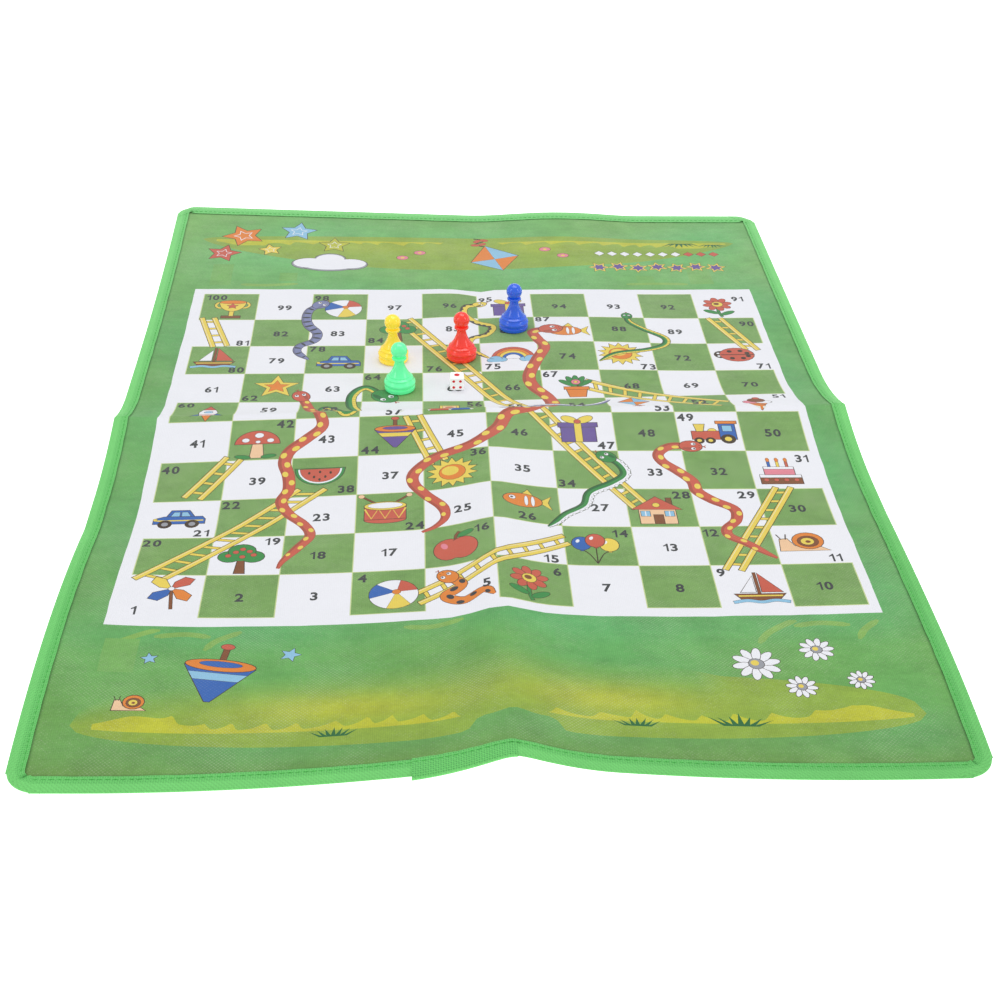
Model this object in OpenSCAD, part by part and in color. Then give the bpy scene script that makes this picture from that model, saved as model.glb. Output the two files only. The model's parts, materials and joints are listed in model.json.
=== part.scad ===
// Snakes and ladders mat: a printed cloth sheet with a bound edge, creased in four,
// lying on a table with four pawns and a die standing on it.
// Millimetres. +X to the right, +Y away from the player, +Z up. The origin is the middle
// of the mat on the table. The cross crease lies along X, the long crease along Y.

/* [Cloth sheet] */
// Width of the mat over its binding
mat_w = 420; // [380:1:460]
// Length of the mat over its binding
mat_l = 600; // [560:1:660]
// Thickness of the printed cloth
sheet_t = 0.5; // [0.3:0.05:0.8]
// Radius of the mat's corners
corner_r = 9; // [5:0.5:9]

/* [Edge binding] */
// Width of the tape that shows on each side
tape_w = 10; // [8:0.5:14]
// Thickness of the tape
tape_t = 0.4; // [0.25:0.05:0.6]
// Distance of the seam from the tape's inner edge
seam_in = 2; // [1:0.25:4]
// Width of the seam thread
thread_w = 0.6; // [0.4:0.05:0.9]
// Height of the seam thread over the tape
thread_h = 0.25; // [0.15:0.05:0.4]
// Where the tape's lapped end starts, left of the long crease
lap_at = 40; // [34:1:60]
// Length of the lap
lap_len = 44; // [16:1:46]

/* [Cross crease] */
// Height of the ridge at the left edge
ridge_left = 7.5; // [4:0.5:12]
// Height of the ridge in the middle
ridge_mid = 12.5; // [8:0.5:16]
// Height of the ridge at the right edge
ridge_right = 11.5; // [4:0.5:14]
// Reach of the ridge's slope behind the crease at the left edge
back_left = 40; // [32:1:60]
// Reach of that slope in the middle
back_mid = 36; // [32:1:60]
// Reach of that slope at the right edge
back_right = 64; // [32:1:75]
// Reach of the ridge's slope in front of the crease at both side edges
front_side = 70; // [60:1:120]
// Reach of that slope in the middle
front_mid = 150; // [70:1:160]

/* [Long crease] */
// Distance of the crease to the right of the mat's middle
crease_x = 2.5; // [0:0.5:5]
// Height of the hump at the near edge, from nothing at the cross crease
hump_h = 13.5; // [10:0.5:18]
// Reach of the hump to each side
hump_reach = 180; // [140:1:200]
// Rounding of the hump's top
hump_round = 5; // [2:0.5:8]
// Height of the sharp ridge on the hump beside the cross crease
spine_start = 6.5; // [2:0.5:8]
// Height of the sharp ridge at the near edge
spine_end = 5.5; // [2:0.5:8]
// Reach of the sharp ridge to each side
spine_reach = 40; // [24:1:60]

/* [Lifted edges] */
// Lift of the far edge at the left corner
curl_left = 11.5; // [4:0.5:14]
// Lift of the far edge at the long crease
curl_mid = 2.5; // [1:0.5:8]
// Lift of the far edge at the right corner
curl_right = 0.5; // [0:0.5:8]
// More lift of the far edge, right of the long crease
bump_h = 3; // [0:0.5:5]
// Distance of that bump from the long crease
bump_at = 65; // [50:1:90]
// Reach of that bump to each side
bump_reach = 60; // [40:1:90]
// Distance from the cross crease where the far lift starts
curl_start = 95; // [80:1:140]
// Height of the near part at the right edge
panel_right = 3.5; // [1:0.5:5]
// Distance from the cross crease where the near part starts to come down
panel_end = 205; // [180:1:240]
// Lift of the left edge in the near part
side_left = 9.5; // [4:0.5:12]
// Lift of the right edge in the near part
side_right = 2.5; // [1:0.5:6]
// Distance of the highest side lift from the cross crease
side_at = 207; // [180:1:230]
// Reach of the side lift before and after its highest place
side_reach = 105; // [80:1:140]
// Height of the low swell in the far part
swell_h = 2.5; // [0:0.5:4]
// Distance of the swell's top to the right of the mat's middle
swell_x = 50; // [20:1:80]
// Distance of the swell's top from the cross crease
swell_y = 100; // [85:1:120]
// Reach of the swell across the mat
swell_w = 90; // [60:1:110]
// Reach of the swell along the mat
swell_l = 75; // [50:1:80]

/* [Board] */
// Pitch of the printed squares
cell = 36; // [33:0.5:38]
// Shift of the print to the right of the mat's middle
print_x = 1.5; // [0:0.5:4]
// Shift of the print towards the player
print_near = 5.5; // [0:0.5:6]

/* [Pawns] */
// Height of a pawn
pawn_h = 30.5; // [28:0.5:34]
// Diameter of the foot
foot_d = 18.4; // [17:0.2:20]
// Height of the foot
foot_h = 2.8; // [2.2:0.1:3.4]
// Depth of the groove over the foot
groove_in = 0.45; // [0.2:0.05:0.7]
// Diameter of the swelling over the foot
bulge_d = 18.8; // [17.6:0.2:20.4]
// Height of the swelling
bulge_h = 4; // [3.4:0.1:4.6]
// Diameter of the upper ring
ring_d = 13; // [12:0.2:14]
// Height of each step ring
ring_h = 1.4; // [1:0.1:1.6]
// Diameter of the neck
neck_d = 5.4; // [4.6:0.1:6]
// Diameter of the collar
collar_d = 8.8; // [8:0.1:9.6]
// Height of the collar
collar_h = 1.9; // [1.5:0.1:2.2]
// Height of the throat between the collar and the head
throat_h = 0.9; // [0.5:0.1:1.2]
// Diameter of the head
head_d = 9.9; // [9:0.1:10.4]
// Wall of the hollow moulding
pawn_wall = 1.5; // [1.2:0.1:1.9]

/* [Die] */
// Edge length of the die
die_a = 8.5; // [8:0.5:12]
// Radius of the die's edges
die_r = 1.1; // [0.6:0.1:1.5]
// Diameter of the single pip
one_d = 3.4; // [2.4:0.1:3.8]
// Diameter of the other pips
pip_d = 1.7; // [1.2:0.1:2]
// Spacing of the pips
pip_step = 2; // [1.8:0.1:2.3]
// Depth of a pip
pip_depth = 0.3; // [0.2:0.05:0.4]

/* [Hidden] */

// Clearance between the layers of cloth
layer_gap = 0.1;
// Clearance of the sheet's raw edge inside the tape's fold
edge_gap = 0.3;
// Clearance between the two halves at the cross crease
crease_gap = 0.3;
// Clearance under a piece that stands on the cloth
seat_gap = 0.1;
// Clearance of the thread over the tape
thread_gap = 0.02;
// Length over which the thread climbs onto the lap
lap_ramp = 1.2;
// Reach over which the sheet comes down to the table from the tape's lower layer
settle = 15;
// Length of tape before a corner's mitre
mitre_lead = 2;
// Rounding of the pawn's foot
foot_round = 0.9;
// Rounding of the collar's rim
collar_round = 0.85;

half_w = mat_w/2;
half_l = mat_l/2;
// The sheet's underside lies on the tape's lower layer at the edges
lower_z = tape_t + layer_gap;
// Underside and top of the tape's upper layer, over the cloth's lowest level
upper_z = lower_z + sheet_t + layer_gap;
tape_top = upper_z + tape_t;
sheet_in = tape_t + edge_gap;

// Heights of the cloth
function square_of(t) = t*t;
function over(t) = max(0, t);
// A height that runs straight from the left edge to the long crease and on to the right edge
function along(x, left, mid, right) =
    mid + (left - mid)*over(-x)/half_w + (right - mid)*over(x)/half_w;
function ridge(x) = along(x, ridge_left, ridge_mid, ridge_right);
// A rounded rise that comes down to nothing at its reach
function rise(t) = square_of(over(1 - t*t));
function far_z(x, y) =
    let (back = along(x, back_left, back_mid, back_right))
    let (curl = along(x, curl_left, curl_mid, curl_right) + bump_h*rise((x - bump_at)/bump_reach))
    ridge(x)*square_of(over(1 - y/back))
    + curl*square_of(over((y - curl_start)/(half_l - curl_start)))
    + swell_h*rise((x - swell_x)/swell_w)*rise((y - swell_y)/swell_l);
function panel_z(x, y) =
    let (down = 1 - square_of(over((-y - panel_end)/(half_l - tape_w - panel_end))))
    let (lift = over(1 - square_of((-y - side_at)/side_reach)))
    panel_right*(1 + x/half_w)/2*down
    + lift*(side_left*square_of(over(-x)/half_w) + side_right*square_of(over(x)/half_w));
function hump_z(x, y) =
    let (off = sqrt(square_of(x - crease_x) + hump_round*hump_round) - hump_round)
    let (run = -y/half_l)
    hump_h*run*square_of(over(1 - off/hump_reach))
    + (spine_start + (spine_end - spine_start)*run)*square_of(over(1 - off/spine_reach));
function near_z(x, y) =
    let (blend = square_of(over(1 + y/along(x, front_side, front_mid, front_side))))
    (panel_z(x, y) + hump_z(x, y))*(1 - blend) + ridge(x)*blend;
// Under the tape the cloth lies level towards its edge
function held(v, half) = max(tape_w - half, min(half - tape_w, v));
function cloth_z(x, y) =
    let (u = held(x, half_w), v = held(y, half_l))
    max(0, v >= 0 ? far_z(u, v) : near_z(u, v));

// The sheet's own underside: on the tape's lower layer at the edge, on the table further in
function sheet_z(x, y) =
    let (inset = min(half_w - abs(x), half_l - abs(y)))
    cloth_z(x, y) + lower_z*min(1, over(1 - (inset - tape_w)/settle));

// Stations across and along the mat, closer together beside the creases
across_count = 13;
along_count = 16;
crowd_share = 1.45;
across_right = [
    for (i = [1:across_count]) (half_w - tape_w - settle)*pow(i/across_count, crowd_share),
    half_w - tape_w
];
lap_stations = [
    -lap_at - lap_ramp, -lap_at - edge_gap, -lap_at,
    lap_len - lap_at, lap_len - lap_at + edge_gap, lap_len - lap_at + lap_ramp
];
function sorted(list) =
    len(list) < 2 ? list :
    let (pivot = list[0])
    concat(
        sorted([for (v = list) if (v < pivot) v]),
        [pivot],
        sorted([for (v = list) if (v > pivot) v])
    );
across = sorted(concat([for (x = across_right) -x], [0, crease_x], across_right));
across_lapped = sorted(concat(across, lap_stations));
along_half = [
    for (i = [1:along_count]) (half_l - tape_w - settle)*pow(i/along_count, crowd_share),
    half_l - tape_w
];

// A closed skin of stations times ring points. Both ends are capped with the section's triangles.
module tube_of_rings(rings, section) {
    count = len(rings);
    sides = len(rings[0]);
    walls = [
        for (i = [0:count - 2], k = [0:sides - 1])
        let (a = i*sides + k, b = i*sides + (k + 1) % sides)
        each [[a, b, b + sides], [a, b + sides, a + sides]]
    ];
    first_end = [for (t = section) [t[2], t[1], t[0]]];
    last_end = [for (t = section) [for (k = t) (count - 1)*sides + k]];
    polyhedron([for (r = rings) each r], concat(walls, first_end, last_end), convexity = 10);
}
// Triangles of the two sections: a tape folded round an edge, and a flat strip
fold_section = [[0, 1, 4], [0, 4, 5], [1, 2, 3], [1, 3, 4], [0, 5, 6], [0, 6, 7]];
strip_section = [[0, 1, 2], [0, 2, 3]];
// The same triangles where a ring runs the other way round
function turned(section, sides) = [for (t = section) [for (k = [2:-1:0]) sides - 1 - t[k]]];

// Half of the sheet, as columns across times rows along. side is 1 for the far half.
module sheet_half(side) {
    columns = concat([-half_w + sheet_in], across, [half_w - sheet_in]);
    rows = concat([side > 0 ? 0 : crease_gap], along_half, [half_l - sheet_in]);
    nx = len(columns);
    ny = len(rows);
    corner_in = corner_r*(1 - sqrt(1/2));
    corner_of = function (i, j) j == ny - 1 && (i == 0 || i == nx - 1);
    place = function (i, j)
        let (pull = corner_of(i, j) ? corner_in : 0)
        [columns[i] - sign(columns[i])*pull, side*(rows[j] - pull)];
    lower = [for (j = [0:ny - 1], i = [0:nx - 1])
        let (p = place(i, j)) [p.x, p.y, sheet_z(p.x, p.y)]];
    upper = [for (p = lower) [p.x, p.y, p.z + sheet_t]];
    n = nx*ny;
    cells = [for (j = [0:ny - 2], i = [0:nx - 2]) j*nx + i];
    top = [for (c = cells) each [[c, c + nx, c + nx + 1], [c, c + nx + 1, c + 1]]];
    border = concat(
        [for (i = [0:nx - 1]) i],
        [for (j = [1:ny - 1]) j*nx + nx - 1],
        [for (i = [nx - 2:-1:0]) (ny - 1)*nx + i],
        [for (j = [ny - 2:-1:1]) j*nx]
    );
    rim = [for (k = [0:len(border) - 1])
        let (a = border[k], b = border[(k + 1) % len(border)])
        each [[a, a + n, b + n], [a, b + n, b]]];
    bottom = [for (f = top) [f[2], f[1], f[0]]];
    lid = [for (f = top) [for (v = f) v + n]];
    all = concat(bottom, lid, rim);
    // A mirrored half has its faces turned round
    faces = side > 0 ? all : [for (f = all) [f[2], f[1], f[0]]];
    polyhedron(concat(lower, upper), faces, convexity = 10);
}

// Stations round half of the edge: the outer point and the tape's inner point of each.
// right is 1 for the right side and -1 for the left, side is 1 for the far half.
function side_run(right, side) = [
    for (y = concat([side > 0 ? 0 : crease_gap],
                    [for (v = along_half) if (v < half_l - tape_w - mitre_lead) v]))
    [[right*half_w, side*y], [right*(half_w - tape_w), side*y]]
];
corner_steps = 4;
function corner_run(right, side) = [
    for (i = [-1:corner_steps + 1])
    let (turn = 90*min(1, over(i/corner_steps)))
    let (share = (i + 1)/(corner_steps + 2))
    let (lead_a = i < 0 ? tape_w + mitre_lead - corner_r : 0)
    let (lead_b = i > corner_steps ? tape_w + mitre_lead - corner_r : 0)
    let (inner_a = mitre_lead*over(1 - 2*share), inner_b = mitre_lead*over(2*share - 1))
    [
        [right*(half_w - corner_r*(1 - cos(turn)) - lead_b),
         side*(half_l - corner_r*(1 - sin(turn)) - lead_a)],
        [right*(half_w - tape_w - inner_b), side*(half_l - tape_w - inner_a)]
    ]
];
function end_run(side, stations) = [
    for (x = stations) if (abs(x) < half_w - tape_w - mitre_lead)
    [[x, side*half_l], [x, side*(half_l - tape_w)]]
];
function reversed(list) = [for (i = [len(list) - 1:-1:0]) list[i]];
// From the crease on the left, round the end and back to the crease on the right
function edge_run(side, stations) = concat(
    side_run(-1, side), corner_run(-1, side), end_run(side, stations),
    reversed(corner_run(1, side)), reversed(side_run(1, side))
);

// A point of the tape's section: a share of the way from the outer to the inner point,
// at a height over the cloth's lowest level there
function tape_point(station, share, height) =
    let (p = station[0] + (station[1] - station[0])*share)
    [p.x, p.y, cloth_z(p.x, p.y) + height];
fold_share = tape_t/tape_w;
function tape_ring(s) = [
    tape_point(s, 0, 0), tape_point(s, 0, tape_top), tape_point(s, 1, tape_top),
    tape_point(s, 1, upper_z), tape_point(s, fold_share, upper_z),
    tape_point(s, fold_share, tape_t), tape_point(s, 1, tape_t), tape_point(s, 1, 0)
];
function facing(side, ring) = side > 0 ? ring : reversed(ring);

module binding_half(side, stations) {
    section = side > 0 ? fold_section : turned(fold_section, 8);
    tube_of_rings([for (s = edge_run(side, stations)) facing(side, tape_ring(s))], section);
}

// The lapped end of the tape wraps over the tape below it
lap_out = tape_t + layer_gap;
lap_rise = tape_top + layer_gap + tape_t;
function lap_ring(s) = [
    tape_point(s, -lap_out/tape_w, -lap_out),
    tape_point(s, -lap_out/tape_w, lap_rise),
    tape_point(s, 1, lap_rise),
    tape_point(s, 1, tape_top + layer_gap),
    tape_point(s, -layer_gap/tape_w, tape_top + layer_gap),
    tape_point(s, -layer_gap/tape_w, -layer_gap),
    tape_point(s, 1, -layer_gap),
    tape_point(s, 1, -lap_out)
];
module lapped_end() {
    span = [for (x = across_lapped) if (x >= -lap_at && x <= lap_len - lap_at) x];
    tube_of_rings([for (s = end_run(-1, span)) facing(-1, lap_ring(s))], turned(fold_section, 8));
}

// The seam thread lies on the tape, and climbs over the lap
function on_lap(s, side) =
    side < 0 && s[0].y < crease_gap - half_l
    && s[0].x > -lap_at - lap_ramp && s[0].x < lap_len - lap_at + lap_ramp;
function thread_ring(s, side) =
    let (from_share = (tape_w - seam_in - thread_w/2)/tape_w)
    let (to_share = (tape_w - seam_in + thread_w/2)/tape_w)
    let (rise = (on_lap(s, side) ? lap_rise : tape_top) + thread_gap)
    [
        tape_point(s, from_share, rise), tape_point(s, from_share, rise + thread_h),
        tape_point(s, to_share, rise + thread_h), tape_point(s, to_share, rise)
    ];
module seam_half(side, stations) {
    section = side > 0 ? strip_section : turned(strip_section, 4);
    tube_of_rings([for (s = edge_run(side, stations)) facing(side, thread_ring(s, side))], section);
}

// Places on the board, counted in squares from its near left corner
pawn_square_shares = [[3.50, 7.43], [3.62, 6.41], [4.67, 7.45], [5.62, 8.48]];
die_square_share = [4.57, 6.41];
board_half_share = 5;
function square_place(share) = [
    print_x + (share.x - board_half_share)*cell,
    (share.y - board_half_share)*cell - print_near
];
// The far half's height on its flat facets, between the row before a place and the row behind it
function facet_z(x, y) =
    let (before = max([for (v = concat([0], along_half)) if (v <= y) v]))
    let (behind = min([for (v = along_half) if (v > y) v]))
    let (share = (y - before)/(behind - before))
    sheet_z(x, before)*(1 - share) + sheet_z(x, behind)*share;
// The cloth's top under a foot, from its highest place at the rim and the middle
rim_points = 8;
function seat_z(p, r) =
    sheet_t + seat_gap
    + max([for (i = [0:rim_points]) let (a = 360*i/rim_points, q = i < rim_points ? r : 0)
        facet_z(p.x + q*cos(a), p.y + q*sin(a))]);

// How hollow the pawn's flare is: 1 is a cone
flare_bend_share = 1.7;
// Points along an arc, from one angle to another
arc_steps = 8;
function arc(c, rx, ry, from, to, steps = arc_steps) =
    [for (i = [0:steps]) let (a = from + (to - from)*i/steps) [c.x + rx*cos(a), c.y + ry*sin(a)]];

// A hollow pawn in outline: foot, groove, swelling, two step rings, flared neck, collar, head
function pawn_outline() =
    let (foot = foot_d/2, bulge = bulge_d/2, ring = ring_d/2, neck = neck_d/2)
    let (collar = collar_d/2, head = head_d/2)
    let (groove_z = foot_h + groove_in, bulge_z = groove_z + bulge_h)
    let (rings_z = bulge_z + 2*ring_h, head_z = pawn_h - head)
    let (collar_z = head_z - head*cos(asin(neck/head)) - throat_h - collar_h/2)
    let (step = (bulge + ring)/2, flare_top = collar_z - collar_round)
    let (head_from = -acos(neck/head))
    concat(
        [[foot - pawn_wall, 0], [foot - foot_round, 0]],
        arc([foot - foot_round, foot_round], foot_round, foot_round, -60, 60),
        [[foot - groove_in, foot_h], [bulge - 2*groove_in, groove_z]],
        arc([bulge - bulge_h/3, groove_z + bulge_h/3], bulge_h/3, bulge_h/3, -50, 60),
        [[step, bulge_z], [step, bulge_z + ring_h/2]],
        arc([ring + ring_h/4, bulge_z + ring_h], ring_h/4, ring_h/4, 60, -60, 4),
        [[ring, rings_z - ring_h/2]],
        // The flare runs from a cone at the ring into the upright neck
        [for (i = [0:arc_steps]) let (t = i/arc_steps)
            [neck + (ring - groove_in - neck)*pow(1 - t, flare_bend_share),
             rings_z + (flare_top - rings_z)*t]],
        arc([collar - collar_round, collar_z + collar_h/2], collar_round, collar_h/2, -80, 80),
        arc([0, head_z], head, head, head_from, 90),
        // Inside, from the top of the hollow down
        [[0, collar_z - pawn_wall], [neck - pawn_wall/2, collar_z - 2*pawn_wall],
         [ring - 2*pawn_wall, rings_z], [step - pawn_wall, bulge_z - pawn_wall]]
    );

module pawn(index) {
    p = square_place(pawn_square_shares[index]);
    translate([p.x, p.y, seat_z(p, foot_d/2)])
        rotate_extrude($fn = 96) polygon(pawn_outline());
}

// A square with rounded corners, as one outline
module rounded_square(a, r) {
    m = a/2 - r;
    polygon([for (q = [0:3])
        let (c = [m*sign(cos(45 + 90*q)), m*sign(sin(45 + 90*q))])
        each arc(c, r, r, 90*q, 90*q + 90, 6)]);
}
// Pips of one face, in steps from its middle: the numbers one to six
pip_shares = [
    [[0, 0]],
    [[-1, 1], [1, -1]],
    [[-1, 1], [0, 0], [1, -1]],
    [[-1, 1], [1, 1], [-1, -1], [1, -1]],
    [[-1, 1], [1, 1], [0, 0], [-1, -1], [1, -1]],
    [[-1, 1], [1, 1], [-1, 0], [1, 0], [-1, -1], [1, -1]]
];
// A pip is cut by a ball that gives its width and depth on the face
module pips(number) {
    d = number == 1 ? one_d : pip_d;
    ball_r = (square_of(d/2) + square_of(pip_depth))/(2*pip_depth);
    for (q = pip_shares[number - 1])
        translate([q.x*pip_step, q.y*pip_step, die_a/2 + ball_r - pip_depth])
            sphere(r = ball_r, $fn = 64);
}
// Turns that bring each number's face to the top: one is up, four faces the player
die_turns = [[0, 0, 0], [0, 90, 0], [-90, 0, 0], [90, 0, 0], [0, -90, 0], [180, 0, 0]];
module rounded_block() {
    intersection() {
        linear_extrude(die_a, center = true) rounded_square(die_a, die_r);
        rotate([90, 0, 0]) linear_extrude(die_a, center = true) rounded_square(die_a, die_r);
        rotate([0, 90, 0]) linear_extrude(die_a, center = true) rounded_square(die_a, die_r);
    }
}

module mat_far_half() { color("honeydew") sheet_half(1); }
module mat_near_half() { color("honeydew") sheet_half(-1); }
module binding_far() { color("limegreen") binding_half(1, across); }
module binding_near() { color("limegreen") binding_half(-1, across_lapped); }
module binding_lap() { color("limegreen") lapped_end(); }
module seam_far() { color("mediumseagreen") seam_half(1, across); }
module seam_near() { color("mediumseagreen") seam_half(-1, across_lapped); }
module pawn_yellow() { color("gold") pawn(0); }
module pawn_green() { color("aquamarine") pawn(1); }
module pawn_red() { color("tomato") pawn(2); }
module pawn_blue() { color("royalblue") pawn(3); }
module die() {
    p = square_place(die_square_share);
    // Clear of the cloth where the die stands and where a quarter turn puts it down
    seat = max(seat_z(p, die_a/2), seat_z(p + [die_a - 2*die_r, 0], die_a/2));
    color("white") translate([p.x, p.y, seat + die_a/2])
        difference() {
            rounded_block();
            for (n = [1:6]) rotate(die_turns[n - 1]) pips(n);
        }
}

mat_far_half();
mat_near_half();
binding_far();
binding_near();
binding_lap();
seam_far();
seam_near();
pawn_yellow();
pawn_green();
pawn_red();
pawn_blue();
die();
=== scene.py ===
"""Snakes and ladders mat: a printed cloth board with a bound edge, four pawns and a die.

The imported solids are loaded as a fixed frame. Each operator makes one piece, or one group
of like pieces, over its solids, and the last one makes the stage and the camera.
Lengths in the code are millimetres unless a name ends in _m. The board's print is drawn as
flat shapes, cut into one mesh, and laid on the cloth's form.
"""
import json
import math
import random

import bpy
import numpy as np
from bpy.props import FloatProperty, FloatVectorProperty, PointerProperty
from mathutils import Matrix, Vector
from mathutils.geometry import delaunay_2d_cdt

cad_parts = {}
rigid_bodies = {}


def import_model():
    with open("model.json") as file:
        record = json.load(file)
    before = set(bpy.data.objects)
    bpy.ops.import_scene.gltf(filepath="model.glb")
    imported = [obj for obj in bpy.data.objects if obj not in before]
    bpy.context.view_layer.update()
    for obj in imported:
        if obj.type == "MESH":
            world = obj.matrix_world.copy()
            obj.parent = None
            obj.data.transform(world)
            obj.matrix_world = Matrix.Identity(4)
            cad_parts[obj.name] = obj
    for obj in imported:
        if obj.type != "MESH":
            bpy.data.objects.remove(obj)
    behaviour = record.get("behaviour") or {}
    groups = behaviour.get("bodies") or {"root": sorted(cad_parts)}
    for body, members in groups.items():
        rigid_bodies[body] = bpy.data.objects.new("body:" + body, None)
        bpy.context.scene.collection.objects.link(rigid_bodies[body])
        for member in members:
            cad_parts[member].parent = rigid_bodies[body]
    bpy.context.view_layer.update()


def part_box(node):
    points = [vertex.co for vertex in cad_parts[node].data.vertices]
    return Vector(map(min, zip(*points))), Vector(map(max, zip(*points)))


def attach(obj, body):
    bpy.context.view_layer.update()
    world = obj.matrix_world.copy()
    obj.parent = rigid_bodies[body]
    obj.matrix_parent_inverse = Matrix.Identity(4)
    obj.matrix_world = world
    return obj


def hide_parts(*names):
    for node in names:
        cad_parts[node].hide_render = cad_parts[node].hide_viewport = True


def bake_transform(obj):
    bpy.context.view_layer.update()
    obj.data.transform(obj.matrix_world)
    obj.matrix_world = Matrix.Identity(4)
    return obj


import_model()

bl_info = {
    "name": "Snakes and ladders mat",
    "version": (1, 0, 0),
    "blender": (4, 5, 0),
    "location": "View3D > Sidebar > Board",
    "description": "Builds a printed cloth race-game mat with its pawns and die",
    "category": "Object",
}


# Sizes and colours that a user would change

def length(label, description, default):
    return FloatProperty(name=label, description=description, default=default, unit="LENGTH", precision=5)


def colour(label, description, red, green, blue):
    """A colour given as screen values from 0 to 255."""
    return FloatVectorProperty(name=label, description=description, subtype="COLOR_GAMMA", size=3,
                               default=(red/255, green/255, blue/255), min=0, max=1)


class MatSizes(bpy.types.PropertyGroup):
    """The cloth's outline, layers and form."""
    width: length("Width", "Width of the mat over its binding", 0.42)
    reach: length("Length", "Length of the mat over its binding", 0.6)
    cloth: length("Cloth", "Thickness of the printed cloth", 0.0005)
    corner: length("Corner", "Radius of the mat's corners", 0.0155)
    tape: length("Tape", "Width of the binding on each side", 0.01)
    tape_side: length("Side tape", "Width of the binding that shows on the side edges", 0.0082)
    tape_near: length("Near tape", "Width of the binding that shows on the near edge", 0.0095)
    tape_far: length("Far tape", "Width of the binding that shows on the far edge", 0.0122)
    tape_thick: length("Tape thickness", "Thickness of the binding tape", 0.0004)
    layer_gap: length("Layer gap", "Clearance between layers of cloth", 0.0001)
    settle: length("Settle", "Reach over which the sheet comes down from the tape", 0.015)
    lap_at: length("Lap start", "Distance of the lapped end left of the long crease", 0.04)
    lap_long: length("Lap length", "Length of the tape's lapped end", 0.044)
    ridge_left: length("Ridge left", "Height of the cross crease at the left edge", 0.0075)
    ridge_mid: length("Ridge middle", "Height of the cross crease in the middle", 0.0125)
    ridge_right: length("Ridge right", "Height of the cross crease at the right edge", 0.0115)
    back_left: length("Back left", "Reach of the slope behind the crease at the left edge", 0.04)
    back_mid: length("Back middle", "Reach of the slope behind the crease in the middle", 0.036)
    back_right: length("Back right", "Reach of the slope behind the crease at the right edge", 0.064)
    front_side: length("Front sides", "Reach of the slope before the crease at the side edges", 0.07)
    front_mid: length("Front middle", "Reach of the slope before the crease in the middle", 0.15)
    crease_x: length("Long crease", "Distance of the long crease right of the middle", 0.0025)
    hump_high: length("Hump", "Height of the hump at the near edge", 0.0135)
    hump_reach: length("Hump reach", "Reach of the hump to each side", 0.18)
    hump_round: length("Hump rounding", "Rounding of the hump's top", 0.005)
    spine_start: length("Spine start", "Height of the sharp ridge beside the cross crease", 0.0065)
    spine_end: length("Spine end", "Height of the sharp ridge at the near edge", 0.0055)
    spine_reach: length("Spine reach", "Reach of the sharp ridge to each side", 0.04)
    curl_left: length("Curl left", "Lift of the far edge at the left corner", 0.0115)
    curl_mid: length("Curl middle", "Lift of the far edge at the long crease", 0.0025)
    curl_right: length("Curl right", "Lift of the far edge at the right corner", 0.0005)
    curl_start: length("Curl start", "Distance from the cross crease where the lift starts", 0.095)
    bump_high: length("Bump", "More lift of the far edge right of the long crease", 0.003)
    bump_at: length("Bump place", "Distance of that bump from the middle", 0.065)
    bump_reach: length("Bump reach", "Reach of that bump to each side", 0.06)
    panel_right: length("Panel right", "Height of the near part at the right edge", 0.0035)
    panel_end: length("Panel end", "Distance from the cross crease where it comes down", 0.205)
    side_left: length("Side left", "Lift of the left edge in the near part", 0.0095)
    side_right: length("Side right", "Lift of the right edge in the near part", 0.0025)
    side_at: length("Side place", "Distance of the highest side lift from the crease", 0.207)
    side_reach: length("Side reach", "Reach of the side lift", 0.105)
    swell_high: length("Swell", "Height of the low swell in the far part", 0.0025)
    swell_x: length("Swell X", "Distance of the swell right of the middle", 0.05)
    swell_y: length("Swell Y", "Distance of the swell behind the cross crease", 0.1)
    swell_wide: length("Swell width", "Reach of the swell across the mat", 0.09)
    swell_long: length("Swell length", "Reach of the swell along the mat", 0.075)
    square: length("Square", "Pitch of the printed squares", 0.036)
    print_x: length("Print shift X", "Shift of the print to the right", 0.0015)
    print_y: length("Print shift Y", "Shift of the print away from the player", -0.0055)
    border: length("Border", "Width of the white border round the squares", 0.007)


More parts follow.
